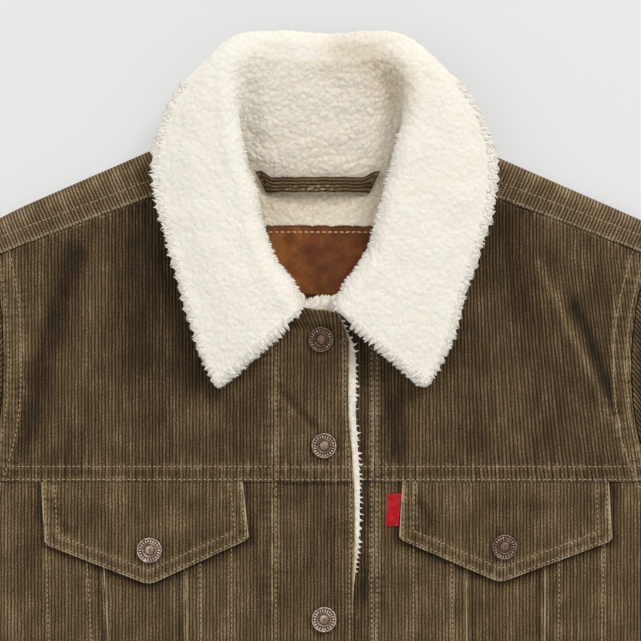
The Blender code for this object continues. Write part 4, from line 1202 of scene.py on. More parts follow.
def build_yoke():
    """The yoke's front strips, its turn over both shoulders and its back, as one cloth with a neck hole."""

    def fold_y(x):
        return shoulder_y(x) - SHOULDER_ROUND

    tip_seam, tip_fold = yoke_seam_y(SHOULDER_TIP_X), fold_y(SHOULDER_TIP_X)

    def spans(y):
        """x across the left strip, the neck's width and the right strip."""
        u = np.linspace(0, 1, STRIP_COLUMNS)
        neck = lerp(-NECK_HALF, NECK_HALF, np.linspace(0, 1, 27)[1:-1]) + 0 * y
        return lerp(SEAM - side_x(LEFT, y), -NECK_HALF, u), neck, lerp(NECK_HALF, side_x(RIGHT, y) - SEAM, u)

    def relief(x, y):
        distance = y - yoke_seam_y(x)
        rows = sum(0.5 * hump(distance - row, 1.1) for row in YOKE_ROWS) + 0.6 * hump(distance, 1)
        return 0.5 * waves(x, y, 30, 8) + 0.3 * ripple(np.abs(x) * 1.07, 2) * hump(distance, 6) - rows

    def front_height(x, y):
        return front_top(x, fold_y(x)) + relief(x, y)

    def block(part, inset):
        share = np.linspace(0, 1, 14)[:, None]
        x = spans(lerp(tip_seam, tip_fold, share))[part]
        y = lerp(yoke_seam_y(x) + SEAM, fold_y(x), share)
        front = grid(x, y, front_top(x, fold_y(x)) - inset if inset else front_height(x, y))
        angle = np.linspace(0, math.pi, 15)[:, None]
        x = spans(tip_fold + 0 * angle)[part]
        half = 0.5 * front_top(x, fold_y(x))
        fuller = 3.4 * smoothstep((-70 - x) / 30) * smoothstep((260 + x) / 70)
        out = (SHOULDER_ROUND + fuller - inset) * np.sin(angle)
        turn = grid(x, fold_y(x) + out, half + (half - inset) * np.cos(angle))
        share = np.linspace(0, 1, 22)[:, None]
        x = spans(lerp(tip_fold, BACK_YOKE_Y, share))[part]
        start = np.where(np.abs(x) < NECK_HALF, back_neck_y(x) - NECK_GAP, fold_y(x))
        back = grid(x, lerp(start, BACK_YOKE_Y, share), inset)
        return back if part == 1 else np.concatenate([front, turn[1:], back[1:]])

    blocks = [block(part, inset) for inset in (0, CLOTH) for part in range(3)]
    uvs, wears = [], []
    for part in blocks:
        x, y, run = part[..., 0], part[..., 1], run_along(part)
        if part.shape[1] == STRIP_COLUMNS:
            slant = -0.40 * (1 - smoothstep((run - 50) / 60)) * (y - shoulder_y(x))
        else:
            slant, run = 0, run + 60
        uvs.append(grid((np.abs(x) * 1.08 + slant) / PITCH, run / PITCH).reshape(-1, 2))
        worn = 0.8 * hump(run - 0.4, 1.2) + 0.25 * hump(run - 3.2, 0.8)
        worn = worn + 0.3 * hump(y - shoulder_y(x) + 2, 5)
        rubbed = 0.4 + 0.6 * clamp(0.5 + waves(x, y, 7, 4))
        wears.append((0.2 + worn * rubbed + 0.06 * waves(x, y, 20, 7)).ravel())
    points = np.concatenate([part.reshape(-1, 3) for part in blocks])
    starts = np.cumsum([0, *(part.size // 3 for part in blocks[:3])])
    left, neck, right = (np.arange(part.size // 3).reshape(part.shape[:2]) + first
                         for part, first in zip(blocks[:3], starts))
    neck = np.concatenate([left[-len(neck) :, -1:], neck, right[-len(neck) :, :1]], axis=1)
    over = np.concatenate([grid_faces(ids) for ids in (left, neck, right)])
    groups = [over, over[:, ::-1] + starts[3], rim_walls(over, starts[3])]
    item = make_mesh(
        "back_yoke_cloth", points, groups, "corduroy_flat", np.concatenate(uvs), np.concatenate(wears)
    )
    lines = []
    for side in (LEFT, RIGHT):
        for row, reach in zip(YOKE_ROWS, (86, 100)):
            lines.append([(side * x, yoke_seam_y(x) + row) for x in (reach, 221)])
    seams = add_stitches("yoke_stitches", lines, front_height)
    _, length, area = cut_sizes(blocks[0])
    width = 2.1 * SHOULDER_TIP_X * MM
    cut = (width, length, min(2 * area + cut_sizes(points[neck])[2], width * length))
    dress("back_yoke", cut, ["chest_left", "chest_right"])


def sleeve_frame(side):
    """The sleeve's four edges as functions, and the cuff line's start, its run and the way past it."""
    low, high = UNDERARM_Y, ARMHOLE[-1][0]

    def armhole(t):
        y = lerp(high, low, np.asarray(t, dtype=float))
        return np.stack([side * (side_x(side, y) + 2 * SEAM), y], axis=-1)

    def edge(start, line):
        points = [tuple(armhole(start)), *((side * x, y) for x, y in line)]
        return lambda t: along(points, t)

    outer, inner = edge(0, SLEEVE_OUTER), edge(1, SLEEVE_INNER)
    corner = outer(1)
    across = inner(1) - corner
    ahead = np.array([-across[1], across[0]]) / np.linalg.norm(across) * side
    return armhole, lambda t: corner + across * t[..., None], outer, inner, corner, across, ahead


def build_sleeves():
    v = np.linspace(0, 1, 76)
    u = np.linspace(0, 1, 48)[:, None] + 0 * v
    for name, side in SIDES.items():
        armhole, cuff, outer, inner, *_ = sleeve_frame(side)
        ends = lerp(armhole(u), cuff(u), v[:, None])
        plan = lerp(outer(v), inner(v), u[..., None]) + ends
        first, last = (lerp(armhole(0 * v + k), cuff(0 * v + k), v[:, None]) for k in (0, 1))
        plan = plan - lerp(first, last, u[..., None])
        x, y = plan[..., 0], plan[..., 1]
        width = np.linalg.norm(plan[-1] - plan[0], axis=-1)
        loft = quarter_sine(width * np.minimum(u, 1 - u) / SLEEVE_ROUND)
        away = quarter_sine(v / 0.03) * quarter_sine((1 - v) / 0.05) * loft
        wrinkles = 1.1 * waves(x, y * 0.55, 38, 31 + side) * away
        for share, size in SLEEVE_CREASES:
            bent = v - share - 0.05 * np.sin(3 * u + 10 * share)
            wrinkles = wrinkles + size * hump(bent, 0.022) * away * (0.4 + 0.6 * u)
        across, upward = SLEEVE_GRAIN * [side, 1]
        uv = grid((y * across - x * upward) / PITCH, (x * across + y * upward) / PITCH)
        # Rubbed edges and armhole seam, and a painted shadow on the sleeve beside the armhole.
        wear_and_painted_light = 0.6 * hump(u * width, 2) + 0.6 * hump((1 - u) * width, 2) + 0.5 * hump(v * 420, 1.5)
        wear_and_painted_light = wear_and_painted_light * (0.4 + 0.6 * clamp(0.5 + waves(x, y, 8, 6))) - 0.3 * hump(v * 420, 24)
        middle, rise = SLEEVE_WALL + SEAM, lerp(SLEEVE_EDGE, SLEEVE_WALL, loft)
        top, seam = grid(x, y, middle + rise + np.minimum(wrinkles, 2)), grid(x, y, middle)
        low, high = grid(x, y, SLEEVE_WALL - rise), grid(x, y, SLEEVE_WALL)
        below = "sleeve_under_" + name
        for node, outside, inside, cut, rests_on in (
            ("sleeve_upper_" + name, top, seam, seam, [below]),
            (below, low, high, low, []),
        ):
            item = closed_sheet(node + "_cloth", outside, inside, "corduroy_flat", (4, 4), wear_and_painted_light, uv)
            dress(node, cut, rests_on)


def band_path(low, high, start, end, wall, ramp):
    """Middle line of a flattened band, as (across, height) points: on top from start, round by high and
    low, and on top to end, lying on its own beginning."""
    half = 0.5 * wall
    top = 1.5 * wall + SEAM
    turn = half + 0.5 * (wall + SEAM)
    turn_z = 0.5 * (top + half)
    angles = np.linspace(0, math.pi, 13)
    bow = np.column_stack([np.sin(angles) * (turn - half), np.cos(angles) * 0.5 * (wall + SEAM)])
    climb = np.concatenate([np.linspace(start - ramp, start, 10)[1:], np.linspace(start, end, 9)[1:]])
    climb_z = top + (wall + SEAM) * smoothstep((climb - start + ramp) / (ramp - 1))

    def flat(x, z):
        return np.column_stack([x, z + 0 * x])

    return np.concatenate([
        flat(np.linspace(start, high - turn, 40)[:-1], top),
        bow + [high - turn, turn_z],
        flat(np.linspace(high - turn, low + turn, 60)[1:-1], half),
        -bow + [low + turn, turn_z],
        flat(np.linspace(low + turn, start - ramp, 30)[1:], top),
        flat(climb, climb_z),
    ])


def build_bands():
    shares = graded([(0, 0.8), (2, 6), (46, 6), (48, 0.8)])
    v = shares[:, None]
    path = band_path(-HEM_X, HEM_X, UNDER_PLACKET_EDGE, placket_edge(HEM_Y)[..., 0], BAND_WALL, PLACKET_RAMP)
    bands = [("waistband", path, BAND_WALL, lambda x: grid(x, lerp(HEM_Y, WAIST_Y, v)), WAIST_Y - HEM_Y, [])]
    for name, side in SIDES.items():
        corner, across, ahead = sleeve_frame(side)[4:]
        width = np.linalg.norm(across)
        path = band_path(0, width, CUFF_START, CUFF_END, CUFF_WALL, 12)

        def cuff_plan(x, corner=corner, way=across / width, ahead=ahead):
            return corner + way * x[..., None] + ahead * lerp(SEAM, CUFF_LENGTH, v)[..., None]

        bands.append(("cuff_" + name, path, CUFF_WALL, cuff_plan, CUFF_LENGTH, ["sleeve_under_" + name]))
    for name, path, wall, to_plan, height, rests_on in bands:
        normal = unit_rows(np.gradient(path, axis=0)) @ [[0, 1], [-1, 0]]
        roll = BAND_ROLL * (hump(v, 0.03) + hump(1 - v, 0.03))
        grids = []
        for reach in (0.5 * wall - roll, -0.5 * wall + 0 * roll):
            across, up = path[:, 0] + normal[:, 0] * reach, path[:, 1] + normal[:, 1] * reach
            grids.append(np.concatenate([to_plan(across), up[..., None]], axis=-1))
        run = run_along(path)
        edge = np.minimum(v, 1 - v) * height
        wear_and_painted_light = 0.8 * hump(edge, 1) + 0.2 * hump(edge - 4, 0.8)
        uv = grid(v * height / PITCH, run / PITCH)
        item = closed_sheet(name + "_cloth", *grids, "corduroy_flat", (2, 1), wear_and_painted_light, uv)
        dress(name, grids[1], rests_on)


# ---- Sherpa: collar and linings ----


def neck_seam(side, share):
    half = NECK_HALF - STAND_INSET
    back_x = half * np.linspace(0, 1, 25)
    angle = math.acos(NECK_END_X[side] / half) * np.linspace(0, 1, 25)
    front_y = front_neck_y(NECK_HALF * np.cos(angle)) + STAND_INSET * np.sin(angle)
    x = np.concatenate([back_x, half * np.cos(angle[1:])])
    y = np.concatenate([back_neck_y(back_x), front_y[1:]])
    return along(np.column_stack([side * x, y]), share)


def resting_top(x):
    return FRONT_TOP + placket_lift(x) * smoothstep((PLACKET_SEAM[RIGHT] + 4 - x) / 16)


def collar_points(side, share, v, offset, edge_turn=None):
    """Places on the collar. share (columns) runs from the back to the front end, v from the neck seam to
    the outer edge, and offset is the distance from the seam between pile and under collar. Where
    edge_turn is given, it is the angle round the pile's rolled edge."""
    second = COLLAR_STATIONS[side][0]
    before = (-second[0], -second[1], second[2], -second[3], *second[4:])
    table = row_at([before, COLLAR_BACK, *COLLAR_STATIONS[side]], share)
    roll_x, roll_y, edge_x, edge_y, roll_z, edge_z = table.T
    roll = np.column_stack([side * roll_x, roll_y])
    edge = np.column_stack([side * edge_x, edge_y])
    leaf = np.linalg.norm(edge - roll, axis=1)
    out = (edge - roll) / leaf[:, None]
    folded = smoothstep((share - FOLD_SHARES[0]) / (FOLD_SHARES[1] - FOLD_SHARES[0]))
    radius = lerp(FLAT_RADIUS, FOLD_RADIUS, folded)
    inward = np.minimum(folded * (radius + COLLAR_PILE), 0.5 * leaf)
    middle = roll + out * inward[:, None]
    middle_z = roll_z - radius
    neck = neck_seam(side, share)
    risen = smoothstep((share - STAND_RISE[0]) / (STAND_RISE[1] - STAND_RISE[0]))
    neck_z = lerp(BACK_LINING_BOTTOM - 0.5 * SEAM, resting_top(neck[:, 0]) + STAND_BASE, risen)
    reach = np.sum((neck - middle) * out, axis=1)
    sideways = neck - middle - out * reach[:, None]
    foot = np.stack([reach, neck_z - middle_z])
    inset = lerp(*(CLOTH_INSET if edge_turn is None else PILE_INSET), folded)
    rim = np.stack([leaf - inset - inward, edge_z - middle_z])
    foot_far, rim_far = np.hypot(*foot), np.hypot(*rim)
    fold_start = math.tau + np.arctan2(foot[1], foot[0]) - np.arccos(np.minimum(radius / foot_far, 1))
    fold_end = np.arctan2(rim[1], rim[0]) + np.arccos(np.minimum(radius / rim_far, 1))

    row = v * (STAND_ROWS + FOLD_ROWS + LEAF_ROWS)
    turned = clamp((row - STAND_ROWS) / FOLD_ROWS)
    angle = lerp(fold_start, fold_end, turned)
    spoke = np.stack([np.cos(angle), np.sin(angle)])
    fold = spoke * radius
    up_stand = clamp(row / STAND_ROWS)
    on_leaf = clamp((row - STAND_ROWS - FOLD_ROWS) / LEAF_ROWS)
    spot = np.where(row < STAND_ROWS, lerp(foot[:, None, :], fold, up_stand), fold)
    spot = np.where(on_leaf > 0, lerp(fold, rim[:, None, :], on_leaf), spot)
    spot[1] += LEAF_BULGE * np.sin(math.pi * on_leaf) ** 2
    slip = np.where(row < STAND_ROWS, (1 - up_stand) ** 2, 0)
    if edge_turn is not None:
        ahead = np.stack([spoke[1], -spoke[0]])
        radial = 0.5 * offset * (1 + np.cos(edge_turn))
        spot = spot + spoke * radial + ahead * 0.5 * offset * np.sin(edge_turn)
    else:
        spot = spot + spoke * offset
    plan = middle + out * spot[0][..., None] + sideways * slip[..., None]
    return np.concatenate([plan, (middle_z + spot[1])[..., None]], axis=-1)


def evened(columns_of_points, counts):
    """Row shares that divide each column of fine points evenly by length."""
    run = run_along(columns_of_points)
    fine = np.linspace(0, 1, len(columns_of_points))
    targets = np.linspace(0, 1, counts)
    shares = [np.interp(targets * run[-1, k], run[:, k], fine) for k in range(run.shape[1])]
    return np.stack(shares, axis=1)


def furred(points, rise, amount):
    """A grid of pile raised into soft curls, and how deep each point lies between them."""
    normals = grid_normals(points)
    coarse, _ = clump_distance(points + 50, 3 * FUR_CLUMP)
    bent = points + 0.8 * waves(points[..., 0], points[..., 1] + points[..., 2], 5, 12)[..., None]
    near, second = clump_distance(bent, FUR_CLUMP)
    groove = 1 - smoothstep((second - near) / 0.34)
    height = rise * (0.6 - 0.7 * near**2 - 0.6 * groove) + rise * (0.55 - coarse**1.5)
    height = height + 0.3 * waves(points[..., 0], points[..., 1] + points[..., 2], 14, 11)
    moved = points + normals * (height * np.asarray(amount))[..., None]
    return moved, groove, normals


def both_sides(part):
    """Grids of the left and the right half, part(side), as one grid from the left front end to the right."""
    return np.concatenate([part(LEFT)[:, ::-1], part(RIGHT)[:, 1:]], axis=1)


def blurred(points, amount, axis, times):
    for _ in range(times):
        soft = 0.25 * (np.roll(points, 1, axis=axis) + np.roll(points, -1, axis=axis)) + 0.5 * points
        points = lerp(points, soft, amount)
    return points


def cloth_layer(points):
    return grid(run_along(points, 1) / PITCH, run_along(points) / PITCH)


def clumped(spots, last):
    """The middles of the clumps that spots belong to."""
    return np.clip(spots // TUFT_CLUMP * TUFT_CLUMP + TUFT_CLUMP // 2, 0, last)


def collar_tufts(moved, normals, x, y, v):
    rows, count = moved.shape[:2]
    rng = np.random.default_rng(41)
    steep = (normals[..., 2] < 0.5) & (v > 0.2) & (v < 0.6) & (np.abs(x) < 64) & (y < 0)
    folds = np.argwhere(steep)
    folds = tuple(folds[rng.choice(len(folds), min(FOLD_COUNT, len(folds)), replace=False)].T)
    fuzz = (rng.integers(8, rows - 14, FUZZ_COUNT), rng.integers(4, count - 4, FUZZ_COUNT))
    low = np.flatnonzero((y[rows - 10] < 34) & (np.arange(count) > 5) & (np.arange(count) < count - 6))
    rim = (rng.integers(rows - 13, rows - 6, RIM_COUNT), rng.choice(low, RIM_COUNT))
    rim_way = (moved[rim[0] + 3, rim[1]] - moved[rim[0] - 3, rim[1]]) * [1, 1, 0.25]
    gather = moved[rim[0], clumped(rim[1], count - 1)] - moved[rim]
    rim_way = unit_rows(unit_rows(rim_way) + 0.26 * gather)
    end_rows = rng.integers(int(rows * 0.3), rows - 7, END_COUNT)
    steps = rng.integers(2, 7, END_COUNT)
    at_left = rng.uniform(0, 1, END_COUNT) < 0.5
    end = (end_rows, np.where(at_left, steps, count - 1 - steps))
    end_way = moved[end_rows, np.where(at_left, steps - 2, count + 1 - steps)] - moved[end]
    gather = moved[clumped(end_rows, rows - 1), end[1]] - moved[end]
    end_way = unit_rows(unit_rows(end_way * [1, 1, 0.15]) + 0.2 * gather)
    tufts = []
    for kind, picks, way in (
        ("fuzz", fuzz, normals[fuzz]),
        ("fold", folds, normals[folds]),
        ("edge", rim, rim_way),
        ("end", end, end_way),
    ):
        way = unit_rows(unit_rows(way) + rng.normal(0, 0.12, way.shape))
        tufts.append(add_tufts(f"collar_{kind}_tufts", kind, moved[picks], way, 42))
    return tufts


def build_collar_top():
    rows, rolled, turn_share = 132, 0.93, 0.9
    share = np.linspace(0, 1, 284)

    def surface(side, t):
        turn = np.where(t > rolled, (t - rolled) / (1 - rolled) * turn_share * math.pi, 0)
        thin = 0.26 * (side == LEFT) * hump(share - 0.55, 0.17)
        pile = (0.5 * SEAM + COLLAR_PILE) * lerp(0.5, 1, quarter_sine((1 - share) / 0.02)) * (1 - thin)
        return collar_points(side, share, clamp(t / rolled), pile + 0 * t, turn)

    fine = np.linspace(0, 1, 260)[:, None] + 0 * share
    t = {side: evened(surface(side, fine), rows) for side in (LEFT, RIGHT)}
    top = both_sides(lambda side: surface(side, t[side]))
    under = both_sides(lambda side: collar_points(side, share, clamp(t[side] / rolled) * 0.985, 0.5 * SEAM))
    v = both_sides(lambda side: clamp(t[side] / rolled))
    x, y = top[..., 0], top[..., 1]
    inside = 1 - smoothstep((v - 0.24) / 0.2)
    rounded = smoothstep((y - 34) / 10)[..., None]
    rounded[:1], rounded[-2:] = 0, 0
    top = blurred(top, rounded, 0, 14)
    top = blurred(top, (inside * smoothstep((y + 60) / 30))[..., None], 1, 150)
    moved, depth, normals = furred(top, FUR_RISE * (1 + 0.3 * inside), smoothstep(v / 0.03))
    # Painted shade between the curls and inside the collar, more so lower down, plus the COLLAR_TONES.
    shade = (0.06 + 0.06 * inside) * depth + 0.16 * inside + 0.12 * inside * smoothstep((10 - y) / 60)
    for line, tone, half_width in COLLAR_TONES:
        shade = shade + tone * hump(line_distance(line, x, y)[0], half_width)
    item = closed_sheet("collar_pile", moved, under, "sherpa", (4, 4), shade, cloth_layer(top))
    tufts = collar_tufts(moved, normals, x, y, v)
    dress("collar_top", top, ["chest_left", "chest_right"])


def build_collar_under():
    share = np.linspace(0, 1, 72)
    v = np.linspace(0, 1, 40)[:, None] + 0 * share
    over, below = (both_sides(lambda side: collar_points(side, share, v, offset))
                   for offset in (-0.5 * SEAM, -0.5 * SEAM - CLOTH))
    wear_and_painted_light = 0.7 * hump(np.linalg.norm(below - below[-1:], axis=-1), 1.5)
    item = closed_sheet("collar_under_cloth", below, over, "corduroy_flat", (2, 2), wear_and_painted_light, cloth_layer(below))
    dress("collar_under", over, ["chest_left", "chest_right"])


def lining_neck_y(x):
    inner = -38 - 76 * (1 - (np.minimum(np.abs(x), 92) / 92) ** 4)
    return np.where(np.abs(x) < 92, inner, yoke_seam_y(x) - 6)


def places(*runs):
    """Sorted places from runs of start, end and step."""
    return np.unique(np.round(np.concatenate([np.arange(*run) for run in runs]), 3))


def lining_rows(seen_low, last):
    """y of a lining's rows, close together from seen_low up, and their shares of the way to the last."""
    levels = places((LINING_LOW_Y, seen_low, 14), (seen_low, last, 0.9), (last, last + 0.5, 1))
    return levels, ((levels - LINING_LOW_Y) / (last - LINING_LOW_Y))[:, None]


def build_back_lining():
    def top_y(x):
        behind_collar = smoothstep((np.abs(x) - 50) / 10)
        gap = LINING_NECK_GAP - 4 * smoothstep((np.abs(x) - 30) / 6)
        return lerp(back_neck_y(x) - gap, np.minimum(-38, shoulder_y(x) - LINING_INSET), behind_collar)

    columns = places((-235, -58, 12), (-58, 58, 0.9), (58, 236, 12))
    columns = np.concatenate([[-260], columns, [260]])
    levels, v = lining_rows(-130, -31)
    y = lerp(LINING_LOW_Y, top_y(np.clip(columns, -230, 230)), v)
    slivers = SLIVER * np.arange(len(columns))
    x = np.maximum(columns, LINING_INSET - side_x(LEFT, y) + slivers)
    x = np.minimum(x, side_x(RIGHT, y) - LINING_INSET - slivers[::-1])
    seen = smoothstep((62 - np.abs(x)) / 6) * smoothstep((y + 132) / 6)
    between = smoothstep((-37 - y) / 3) * smoothstep((y + 59.5) / 1.5)
    moved, depth, normals = furred(grid(x, y, BACK_LINING_TOP - 0.8 + 1.8 * between * seen), 0.9, seen)
    roof = BACK_LINING_TOP + 0.1 + 4 * between
    moved[..., 2] = np.where(y > PATCH_Y[0] - 1, np.minimum(moved[..., 2], roof), moved[..., 2])
    # Painted shade between the curls, along the back of the neck and over the whole seen lining.
    shade = 0.16 * depth + 0.2 * hump(y + 40, 14) + 0.3
    under = grid(x, y, BACK_LINING_BOTTOM)
    item = closed_sheet("back_lining_pile", moved, under, "sherpa", (3, 3), shade)
    rows = np.flatnonzero((levels > -122) & (levels < -104))
    rng = np.random.default_rng(51)
    curled = np.flatnonzero(np.abs(columns) < 48)
    picks = (rng.choice(rows, CURL_COUNT), rng.choice(curled, CURL_COUNT))
    tufts = add_tufts("back_lining_curls", "curl", moved[picks], normals[picks], 52)
    dress("back_lining", under, ["back_panel", "back_yoke"])


def lining_top(x, y):
    return front_level(x, y) - CLOTH - LINING_SLACK


def build_left_lining():
    """The lining of the left front, which shows in the neck and past the upper placket's edge."""

    def bottom(x, y):
        ramp = smoothstep((x - UNDER_PLACKET_EDGE + 5 + LINING_RAMP) / LINING_RAMP)
        return lerp(FRONT_LINING_BOTTOM, front_level(x, y) + 2 * SEAM, ramp)

    def top(x, y):
        raised = front_level(x, y) + placket_lift(x) - CLOTH - 2 * SEAM
        return lerp(lining_top(x, y), raised, smoothstep((x - PLACKET_SEAM[LEFT] + 3) / 14))

    def seen_neck_y(x):
        return lining_neck_y(x) + 8.5 * hump(x, 17)

    columns = places((-235, -40, 14), (-40, -17, 4), (-17, 0, 1.2))
    columns = np.concatenate([[-260], columns])
    count = len(columns)
    shares = np.linspace(0, 1, 26)[1:]
    levels, v = lining_rows(-305, -113)
    guess = np.concatenate([np.clip(columns, -230, 0), 0 * shares])
    y = lerp(LINING_LOW_Y, seen_neck_y(guess), v)
    left = np.maximum(columns, LINING_INSET - side_x(LEFT, y[:, :count]) + SLIVER * np.arange(count))
    edge, pile = np.moveaxis(placket_edge(y[:, count:]), -1, 0)
    edge = edge + np.where(pile > 0, PEEK_SHARE * pile, pile)
    x = np.concatenate([left, lerp(columns[-1], edge, shares)], axis=1)
    y = lerp(LINING_LOW_Y, seen_neck_y(np.minimum(x, 26)), v)
    past = x - placket_edge(y)[..., 0]
    peek = smoothstep((past + 4) / 4) * smoothstep((y + 312) / 10)
    moved, depth, _ = furred(grid(x, y, top(x, y)), 0.8, peek)
    moved[..., 2] -= smoothstep((past - 1) / 3) * peek
    # Painted shade between the curls, on the lower peek, where the collar shades it and beside the placket's
    # edge.
    shade = 0.25 * depth + 0.5 * smoothstep((-250 - y) / 30) + 0.3 * hump(y + 138, 24)
    shade = shade + 0.55 * (1 - smoothstep((past + 0.5) / 2.4)) * smoothstep((-112 - y) / 6)
    under = grid(x, y, bottom(x, y))
    item = closed_sheet("front_lining_left_pile", moved, under, "sherpa", (3, 3), shade)

    rng = np.random.default_rng(61)
    rows = np.flatnonzero((levels > -286) & (levels < -116))
    picks = (rng.choice(rows, PEEK_COUNT), rng.integers(x.shape[1] - 6, x.shape[1], PEEK_COUNT))
    roots = moved[picks] - [0, 0, 1]
    clump = roots[:, 1] / 3.6 + 0.6 * np.sin(roots[:, 1] / 9)
    swing = np.round(clump) - clump
    roots[:, 1] += 1.8 * swing
    out = unit_rows(grid(1, 1.4 * swing - 0.25, rng.uniform(-0.1, 0.2, PEEK_COUNT)))
    spikes = add_tufts("placket_pile_tufts", "placket", roots, out, 62)
    neck_columns = np.flatnonzero((moved[-1, :, 0] > -17) & (moved[-1, :, 0] < 12))
    neck_rows = rng.integers(len(levels) - 7, len(levels), PEEK_COUNT)
    picks = (neck_rows, rng.choice(neck_columns, PEEK_COUNT))
    fleece = unit_rows([0, 1, 0.7] + rng.normal(0, 0.3, (PEEK_COUNT, 3)))
    throat = add_tufts("neck_pile_tufts", "neck", moved[picks], fleece, 63)
    dress("front_lining_left", under, ["back_lining"])


def build_right_lining():
    columns = np.append(places((-5, 236, 6)), 260)
    v = np.linspace(0, 1, 50)[:, None]
    y = lerp(LINING_LOW_Y, lining_neck_y(np.clip(columns, -5, 230)), v)
    x = np.minimum(columns, side_x(RIGHT, y) - LINING_INSET - SLIVER * np.arange(len(columns))[::-1])
    y = lerp(LINING_LOW_Y, lining_neck_y(x), v)
    top, under = grid(x, y, lining_top(x, y)), grid(x, y, FRONT_LINING_BOTTOM)
    item = closed_sheet("front_lining_right_pile", top, under, "sherpa", (2, 2), 0.3)
    dress("front_lining_right", under, ["back_lining"])


# ---- Trims and buttons ----


def rim_distance(x, y, spans):
    """Distance to the nearest side of a rectangle with the spans of x and of y."""
    beside = [np.minimum(value - low, high - value) for value, (low, high) in zip((x, y), spans)]
    return np.minimum(*beside)


def build_loop():
    u, v = np.linspace(-1, 1, 150), np.linspace(0, 1, 22)[:, None]
    offset = v * LOOP_SEEN_WIDTH
    horn = smoothstep((np.abs(u) - 0.78) / 0.14) * v**1.5
    x = LOOP_SEEN_X + u * lerp(*LOOP_SEEN_HALF, v) + np.sign(u) * 2.4 * horn
    y = LOOP_SEEN_Y + offset + 4.2 * horn + 0.3 * waves(x, 0 * v, 9, 73)
    bottom = BACK_LINING_TOP + SEAM + LOOP_RISE * (1 - np.abs(u) ** 4) + 2.2 * horn
    wales = 2 * WALE_HEIGHT * (2 * wale_profile(offset + 0.3) - 1)
    edge = np.minimum(offset, LOOP_SEEN_WIDTH - offset) + 0 * u
    sag = 0.35 * waves(x, v, 22, 72)
    top = grid(x, y + 0.12 * waves(x, v, 1.6, 74), bottom + CLOTH + wales + sag - 0.5 * hump(edge, 0.8))
    under = grid(x, y, bottom)
    uv = grid((offset + 0.3) / PITCH, x / PITCH)
    flecks = clamp(1.6 * waves(x, y, 1.8, 77)) * hump(u + 0.1, 0.5) * hump(v - 0.28, 0.2)
    wear_and_painted_light = 0.36 * hump(edge, 0.7) - 0.05 + flecks + 0.5 * waves(x, y, 2.2, 78) * horn
    loop = closed_sheet("hanger_loop_cloth", top, under, "corduroy", (3, 6), wear_and_painted_light, uv)
    rng = np.random.default_rng(75)
    picks = (rng.integers(10, 22, FRAY_COUNT), rng.choice(FRAYED_COLUMNS, FRAY_COUNT))
    way = unit_rows(grid(0.5 * np.sign(top[picks][:, 0]), 0.6, 0.7))
    fray = add_tufts("hanger_loop_fray", "fray", top[picks], way, 76, "thread")
    dress("hanger_loop", under, ["back_lining"])


def build_patch():
    u, v = np.linspace(0, 1, 112), np.linspace(0, 1, 68)[:, None]
    x, y = np.broadcast_arrays(lerp(*PATCH_X, u), lerp(*PATCH_Y, v))
    ragged = 0.5 * waves(y, 0 * y, 3.5, 81) * hump(u, 0.02)
    worn_low = 0.5 * waves(x, 0 * x, 5, 82) * hump(v, 0.03)
    edge = rim_distance(x, y, (PATCH_X, PATCH_Y))
    row_y = PATCH_Y[1] - 4.5
    low = BACK_LINING_TOP + SEAM

    def swell(x, y):
        return low + CLOTH + 0.35 * waves(x, y, 20, 83)

    relief = 0.1 * waves(x, y, 4, 84) - 0.7 * hump(edge, 0.9) - 0.35 * hump(y - row_y, 1)
    top, under = grid(x + ragged, y + worn_low, swell(x, y) + relief), grid(x, y, low)
    burnished = 0.3 * hump(edge, 1.8) + 0.2 * smoothstep(1.6 * u) - 0.14 + 0.06 * hump(y - row_y, 1.2)
    item = closed_sheet("neck_patch_leather", top, under, "leather", (4, 4), burnished)
    row = [(PATCH_X[0] + 3, row_y), (PATCH_X[1] - 3, row_y)]
    add_stitches("neck_patch_stitches", [row], lambda x, y: swell(x, y) - 0.2, "tan_thread", 3.9, 3, 0.5)
    dress("neck_patch")


def build_tab():
    u, v = np.linspace(0, 1, 40), np.linspace(0, 1, 70)[:, None]
    straight_x, straight_y = lerp(*TAB_X, u) + 0 * v, lerp(*TAB_Y, v) + 0 * u
    x, y = straight_x + 1.8 * v, straight_y - 0.7
    bottom = front_top(x, y) + SEAM
    curl = 0.9 * (u**2) * (0.5 + 0.5 * np.sin(3 * v + 0.6)) + 0.15 * waves(x, y, 5, 91)
    edge = rim_distance(straight_x, straight_y, (TAB_X, TAB_Y))
    top = grid(x, y, bottom + TAB_WALL + curl - 0.2 * hump(edge, 0.5))
    under = grid(x, y, bottom + 0.6 * curl)
    tab = closed_sheet("side_tab_ribbon", top, under, "ribbon", (3, 3), 0.25 * hump(edge, 0.6), grid(x, y))
    dress("side_tab")


